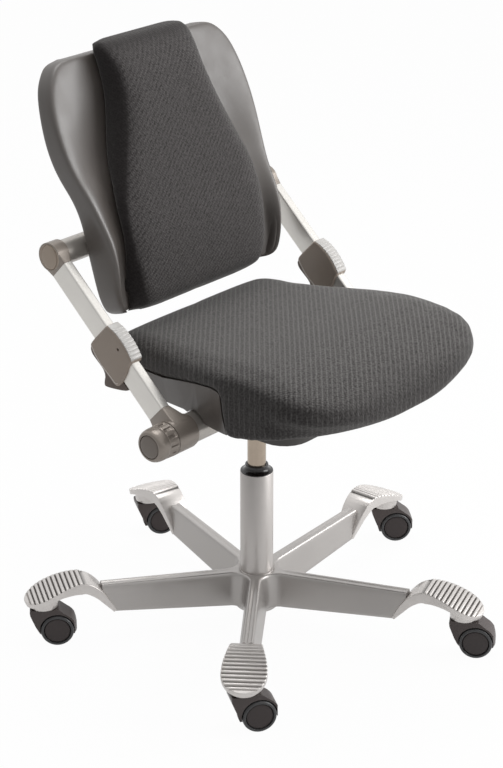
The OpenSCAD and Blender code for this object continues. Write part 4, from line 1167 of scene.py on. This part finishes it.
@dataclass
class Base:
    """Cast base in millimetres: hub and five legs in one flowing skin, a ribbed plate on each leg's end."""

    turn: float = 1.1
    hub: float = 33.0
    column: float = 24.6
    top: tuple[float, float] = (80.0, 86.0)
    low: tuple[float, float] = (24.0, 43.0)
    ridge: float = 5.8
    foot: float = 19.0
    root: float = 224.0
    stem: float = 330.0
    socket: float = 21.0
    web: float = 58.2
    web_half: float = 4.0
    leg_end: float = 242.0
    rib_rise: float = 1.5
    rib_depth: float = 3.8
    plate: float = 5.0
    plate_half: float = 33.0
    ribs: int = 13
    rise: Rows = ((224.0, 44.0), (236.0, 66.0), (252.0, 97.5), (276.0, 97.5))
    fall: Rows = ((276.0, 97.5), (300.0, 97.5), (328.0, 82.0), (358.5, 69.0))
    crest: float = 0.38
    plate_sides: Rows = (
        (212.0, 13.0), (236.0, 19.0), (248.0, 21.4), (262.0, 22.8), (276.0, 24.4), (290.0, 27.6), (302.0, 30.4),
        (314.0, 32.4), (325.0, 33.0),
    )
    skirt: Rows = ((0.0, 0.0), (0.1, 5.0), (0.25, 10.0), (0.38, 12.0), (0.5, 8.5), (0.65, 4.0), (0.78, 2.2), (1.0, 2.0))
    barrel: Rows = ((24.6, 79.0), (24.6, 18.0), (31.8, 18.0), (33.0, 19.2), (33.0, 70.0), (30.0, 74.0))
    curve: list[tuple[float, float, float, float]] = field(default_factory=list)

    def __post_init__(self) -> None:
        """Walks the foot plate's middle line and notes length, radius, height and share of it."""
        crest = self.crest
        points = [(share, *self.bezier(self.rise, share / crest)) for share in [crest * i / 60 for i in range(60)]]
        points += [(crest + (1.0 - crest) * i / 100, *self.bezier(self.fall, i / 100)) for i in range(101)]
        length, last = 0.0, points[0][1:]
        for share, *spot in points:
            length += math.dist(spot, last)
            last = spot
            self.curve.append((length, *spot, share))

    @staticmethod
    def bezier(corners: Rows, share: float) -> tuple[float, float]:
        """Returns the point at a share of a four-point curve."""
        weights = ((1 - share) ** 3, 3 * share * (1 - share) ** 2, 3 * share ** 2 * (1 - share), share ** 3)
        return tuple(sum((Vector(corner) * weight for corner, weight in zip(corners, weights)), Vector((0.0, 0.0))))

    def read(self, key: int, value: float, want: int) -> float:
        """Reads the middle line: key and want are 0 length, 1 radius, 2 height, 3 share."""
        return table(value, [(row[key], row[want]) for row in self.curve])

    def top_height(self, reach: float) -> float:
        """Returns the height of a leg's upper edge at a distance from the axis."""
        return mix(*self.top, (reach - self.hub) / (self.root - self.hub))

    def low_height(self, reach: float) -> float:
        """Returns the height of a leg's lower edge at a distance from the axis."""
        if reach <= self.root:
            return mix(*self.low, reach / self.root)
        return min(self.read(1, reach, 2), self.top_height(reach) - 1.0)

    def section(self, reach: float) -> Outline:
        """Gives half a leg's section.

        Args:
            reach: distance from the axis.

        Returns:
            Points from the groove over the ridge and down the side to the hollow's roof, as half width and height.
        """
        top, low = self.top_height(reach), self.low_height(reach)
        deep = 1.2 * ease((reach - 36.0) / 18.0)
        tall = top - low
        crown = (
            (0.0, -deep), (1.1, -0.92 * deep), (2.2, -0.66 * deep), (3.3, -0.3 * deep), (4.5, -0.06 * deep),
            (self.ridge, 0.0), (7.0, -0.25), (7.9, -0.95), (8.6, -2.1), (9.2, -3.8), (9.9, -6.4),
        )
        points = [(half, top + max(drop, -0.6 * tall)) for half, drop in crown]
        start = max(top - 6.4, low + 0.4 * tall)
        for share in (0.15, 0.35, 0.55, 0.75, 0.92, 1.0):
            height = mix(start, low + min(2.2, 0.3 * tall), share)
            points.append((min(self.foot, 9.9 + (start - height) * 0.1665), height))
        wide = points[-1][0]
        roof = max(top - 12.0, low + 0.5)
        return points + [
            (wide - 0.5, low + min(0.7, 0.1 * tall)), (wide - 1.6, low), (wide - 3.0, low + 0.2),
            (wide - 4.0, mix(low, roof, 0.3)), (7.5, roof), (0.0, roof),
        ]

    def leg_point(self, column: int, row: int, straight: int = 16, bend: int = 12) -> Vector:
        """Places one point of half a leg and its share of the hub.

        Args:
            column: step along the leg and then round the web to the next leg.
            row: step round the section.
            straight: steps along the leg.
            bend: steps round the web.

        Returns:
            The point.
        """
        half_turn = math.radians(36.0)
        centre = Vector((self.web * math.cos(half_turn), self.web * math.sin(half_turn)))
        tangent = centre.x
        if column <= straight:
            reach = tangent + (self.leg_end - tangent) * (1.0 - column / straight) ** 0.75
            return Vector((reach, *self.section(reach)[row]))
        share = (column - straight) / bend
        angle = math.radians(270.0 - 54.0 * share)
        half, height = self.section(tangent)[row]
        outer = centre + Vector((math.cos(angle), math.sin(angle))) * (centre.y - max(half, self.ridge))
        if half < self.ridge:
            walk = share * (tangent - self.column + self.column * half_turn)
            inner = Vector((tangent - walk, 0.0))
            if walk > tangent - self.column:
                swing = (walk - tangent + self.column) / self.column
                inner = Vector((math.cos(swing), math.sin(swing))) * self.column
            outer = inner.lerp(outer, half / self.ridge)
        away = self.section(outer.length)[row][1] - height
        crease = 1.6 * (1.0 - ease((outer.length - self.column - 0.4) / 4.5)) if row < 11 else 0.0
        return Vector((*outer, height + away - crease))

    def legs(self) -> Form:
        """Lays a grid over half a leg with its share of the hub, and mirrors it.

        Returns:
            The mesh, open at the column and towards its neighbours.
        """
        form = bmesh.new()
        columns, rows = 28, len(self.section(self.root)) - 1
        for vertex in bmesh.ops.create_grid(form, x_segments=columns, y_segments=rows, size=1.0)["verts"]:
            column, row = (round((part + 1.0) / 2.0 * steps) for part, steps in zip(vertex.co, (columns, rows)))
            vertex.co = self.leg_point(column, row)
        bmesh.ops.mirror(form, geom=form.verts[:] + form.edges[:] + form.faces[:], axis="Y", merge_dist=0.001)
        # Painted shade: every leg point takes 0.38 of it, which keeps the legs darker than the foot plates, whose light
        # colour paints a reflection on their tops.
        shade = form.verts.layers.float.new("shade")
        for vertex in form.verts:
            vertex[shade] = 0.38
        bmesh.ops.recalc_face_normals(form, faces=form.faces)
        return form

    def half_width(self, radius: float) -> float:
        """Gives a foot plate's half width.

        Args:
            radius: distance from the column's axis.

        Returns:
            The half width there.
        """
        tip = self.curve[-1][1] - self.plate_half
        if radius > tip:
            return self.plate_half * math.sqrt(max(1.0 - ((radius - tip) / self.plate_half) ** 2, 0.0))
        return table(radius, self.plate_sides)

    def foot_plate(self) -> Form:
        """Makes a foot plate flat, rounds its rim, cuts it into steps and bends it over its middle line.

        Returns:
            The mesh.
        """
        length = self.curve[-1][0]
        tip = self.curve[-1][1] - self.plate_half
        straight = self.read(1, tip, 0)
        side = [(straight * i / 34, self.half_width(self.read(0, straight * i / 34, 1))) for i in range(34)]
        for i in range(16):
            radius = tip + self.plate_half * math.sin(math.pi / 2 * i / 16)
            side.append((self.read(1, radius, 0), self.half_width(radius)))
        outline = side + [(length, 0.0)] + [(along, -half) for along, half in reversed(side)]
        thin = -self.plate / 2
        form = slab([(*point, thin) for point in outline], (0.0, 0.0, self.plate))
        floor = min(form.faces, key=lambda face: face.calc_center_median().z)
        bmesh.ops.inset_region(form, faces=[floor], thickness=2.8, use_even_offset=True)
        hanging = [v for v in form.verts if v.co.z < thin + 0.01]
        bmesh.ops.inset_region(form, faces=[floor], thickness=1.2, use_even_offset=True)
        for vertex in hanging:
            vertex.co.z -= table(self.read(0, vertex.co.x, 3), self.skirt)
        rim = [e for e in form.edges if all(v.co.z > 0.0 for v in e.verts) and len(e.link_faces) == 2]
        bmesh.ops.bevel(
            form, geom=rim, offset=1.9, offset_type="OFFSET", segments=3, profile=0.5, affect="EDGES", material=-1,
        )
        start = self.read(3, 0.36, 0)
        pitch = (length - start) / self.ribs
        for cut in [start * i / 12 for i in range(1, 12)] + [start + pitch * i / 8 for i in range(self.ribs * 8)]:
            geometry = form.verts[:] + form.edges[:] + form.faces[:]
            bmesh.ops.bisect_plane(form, geom=geometry, dist=0.0001, plane_co=(cut, 0.0, 0.0), plane_no=(1.0, 0.0, 0.0))
        # Painted shade: the 'shade' attribute follows each rib valley's depth and darkens it, on top of the real
        # groove.
        shade = form.verts.layers.float.new("shade")
        for vertex in form.verts:
            along, half, height = vertex.co
            if height > 0.0 and along > start - 0.01:
                raised = ease((height - 0.3) / 1.6)
                wave = 0.5 + 0.5 * math.cos(math.tau * (along - start) / pitch)
                valley = wave ** 3.4 * ease((length - 6.5 - along) / 1.5) * raised
                valley *= ease((self.half_width(self.read(0, along, 1)) - abs(half)) / 1.6)
                vertex[shade] = valley ** 1.6
                height += self.rib_rise * raised - self.rib_depth * valley
            vertex.co = self.bend(along, half, height)
        return form

    def bend(self, along: float, half: float, height: float) -> Vector:
        """Carries a point of the flat plate onto the bent one.

        Args:
            along: its length along the middle line.
            half: its distance from the plate's middle.
            height: its height over the middle line.

        Returns:
            The point.
        """
        near, middle, far = (
            Vector((self.read(0, along + step, 1), self.read(0, along + step, 2))) for step in (-1.5, 0.0, 1.5)
        )
        run = (far - near).normalized()
        point = middle + Vector((-run.y, run.x)) * height
        return Vector((point.x, half, point.y))

    def socket_body(self) -> Form:
        """Makes the caster's socket, which ends inside the plate.

        Returns:
            The mesh.
        """
        wall = self.socket
        profile = (
            (7.0, 60.0), (wall - 1.6, 60.0), (wall - 0.5, 60.4), (wall, 61.6), (wall + 0.2, 68.0), (wall + 0.4, 95.0),
            (7.0, 95.0),
        )
        form = turned(profile, True, Matrix.Translation((self.stem, 0.0, 0.0)), 48)
        for vertex in form.verts:
            vertex.co.z = min(vertex.co.z, self.read(1, vertex.co.x, 2))
        return form

    def web_body(self) -> Form:
        """Makes the upright web under a foot plate.

        Returns:
            The mesh.
        """
        upper = [row[1:3] for row in self.curve[::8] if 250.0 < row[1] < 322.0]
        corners = [(radius, -self.web_half, height) for radius, height in upper + [(320.0, 72.0), (266.0, 77.0)]]
        return slab(corners, (0.0, 2 * self.web_half, 0.0))

    def build(self, finishes: Finishes) -> Piece:
        """Makes the whole casting and dresses it.

        Args:
            finishes: the chair's finishes.

        Returns:
            The piece.
        """
        form = bmesh.new()
        for maker in (self.legs, self.foot_plate, self.socket_body, self.web_body):
            join(form, maker(), (self.turn, 72.0, 72.0, 72.0, 72.0))
        join(form, turned(self.barrel, True, steps=96))
        bmesh.ops.remove_doubles(form, verts=form.verts, dist=0.002)
        outer = [e for e in form.edges if e.is_boundary and min(v.co.xy.length for v in e.verts) > 150.0]
        bmesh.ops.holes_fill(form, edges=outer, sides=0)
        bmesh.ops.transform(form, matrix=MILLIMETRES, verts=form.verts)
        piece = new_piece("base_casting_skin", form, 50.0)
        return finishes.dress(piece, "silver_casting", "base", "silver_casting", "base_casting")


@dataclass
class Studio:
    """White studio: floor, soft lamps, world and the camera at the photograph's angle."""

    eye: Triple = (-2.27206, -1.92371, 1.66305)
    turn: Triple = (math.radians(66.7612), math.radians(0.0620), math.radians(-49.6243))
    lens_per_height: float = 2195.38 / 768.0
    sensor: float = 24.0
    bright_side: Triple = (0.62, 0.1, 0.78)
    room: tuple[float, float] = (0.04, 0.56)
    seen_room: tuple[float, float] = (0.25, 1.0)
    floor_seen: float = 0.97
    floor_mirrored: float = 0.6
    lamps: tuple[tuple[str, Triple, tuple[float, float], float], ...] = (
        ("side", (1.45, -1.6, 1.2), (1.8, 1.2), 4.9),
        ("top", (0.5, 0.5, 2.9), (1.7, 1.7), 3.3),
    )
    aim: Triple = (0.0, 0.0, 0.55)

    @staticmethod
    def hang(name: str, data: bpy.types.ID, place: Triple, turn: object) -> Piece:
        """Puts a camera or lamp into the scene.

        Args:
            name: its name.
            data: what it is.
            place: where it goes.
            turn: how it is turned.

        Returns:
            Its object.
        """
        thing = bpy.data.objects.new(name, data)
        thing.location = place
        thing.rotation_euler = turn
        bpy.context.scene.collection.objects.link(thing)
        return thing

    def camera(self) -> None:
        """Puts the camera where the photograph was taken from."""
        data = bpy.data.cameras.new("view")
        data.sensor_fit = "VERTICAL"
        data.sensor_height = self.sensor
        data.lens = self.sensor * self.lens_per_height
        bpy.context.scene.camera = self.hang("view", data, self.eye, self.turn)

    def lamp(self, name: str, place: Triple, size: tuple[float, float], radiance: float) -> None:
        """Hangs a soft box that faces the chair.

        Args:
            name: the lamp's name.
            place: where it hangs.
            size: its width and height.
            radiance: how bright its face is.
        """
        data = bpy.data.lights.new(name, "AREA")
        data.shape = "RECTANGLE"
        data.size, data.size_y = size
        data.energy = radiance * math.pi * size[0] * size[1]
        self.hang(name, data, place, (Vector(self.aim) - Vector(place)).to_track_quat("-Z", "Y").to_euler())

    @staticmethod
    def mirrored(path: Node, kit: Kit) -> Socket:
        """Returns 1 for rays off glossy surfaces and through clear ones."""
        return kit.math("MAXIMUM", path.outputs["Is Glossy Ray"], path.outputs["Is Transmission Ray"])

    def world(self) -> None:
        """Makes the room white to look at, brighter behind and to the right of the chair than before it."""
        world = bpy.data.worlds.new("studio")
        bpy.context.scene.world = world
        world.use_nodes = True
        kit = Kit(world.node_tree)
        side = kit.dot(kit.add("ShaderNodeTexCoord").outputs["Generated"], self.bright_side)
        path = kit.add("ShaderNodeLightPath")
        seen = kit.math("MULTIPLY", self.mirrored(path, kit), kit.span(side, -0.8, 0.4, *self.seen_room))
        lit = kit.math("MAXIMUM", kit.span(side, -0.8, 0.8, *self.room), seen)
        strength = kit.math("MAXIMUM", lit, path.outputs["Is Camera Ray"])
        kit.feed(world.node_tree.nodes["Background"], {"Color": (1.0, 1.0, 1.0, 1.0), "Strength": strength})

    def floor(self) -> None:
        """Lays a pale floor that keeps the chair's shadow."""
        form = bmesh.new()
        bmesh.ops.create_grid(form, x_segments=1, y_segments=1, size=30.0)
        floor = new_piece("floor", form)
        material, kit, shader = open_material("floor")
        kit.feed(shader, {"Base Color": (0.86, 0.86, 0.86, 1.0), "Roughness": 0.9, "Specular IOR Level": 0.0})
        glow = kit.add("ShaderNodeEmission", {"Color": (1.0, 1.0, 1.0, 1.0)})
        path = kit.add("ShaderNodeLightPath")
        seen = kit.math("MULTIPLY", path.outputs["Is Camera Ray"], self.floor_seen)
        shine = kit.math("MAXIMUM", seen, kit.math("MULTIPLY", self.mirrored(path, kit), self.floor_mirrored))
        both = kit.add("ShaderNodeMixShader", {0: shine, 1: shader.outputs[0], 2: glow.outputs[0]})
        kit.feed(material.node_tree.nodes["Material Output"], {"Surface": both.outputs[0]})
        floor.data.materials.append(material)

    def build(self) -> None:
        """Sets up the whole studio."""
        self.camera()
        self.world()
        self.floor()
        for row in self.lamps:
            self.lamp(*row)
        bpy.context.scene.view_settings.view_transform = "Standard"


def main() -> None:
    """Builds the chair's looks in order."""
    logging.basicConfig(level=logging.INFO, format="%(name)s: %(message)s")
    Studio().build()
    finishes = Finishes(Effects())
    parts = HardParts()
    parts.dress_rest(finishes)
    made = [Base().build(finishes)] + parts.build(finishes)
    made += [Column().build(finishes)] + Knob().build(finishes)
    for side in SIDES:
        made += Slider(side).build(finishes) + [HubCap(side).build(finishes)]
    for number in CASTERS:
        made += Caster(number).build(finishes)
    made.append(BackShell().build(finishes))
    lean = Vector((0.0, math.cos(BACK_LEAN), -math.sin(BACK_LEAN)))
    made.append(Cushion("seat_cushion", "seat", "seat_cloth", Vector((0.0, 0.0, -1.0))).build(finishes))
    made.append(Cushion("back_cushion", "backrest", "back_cloth", lean).build(finishes))


if __name__ == "__main__":
    main()
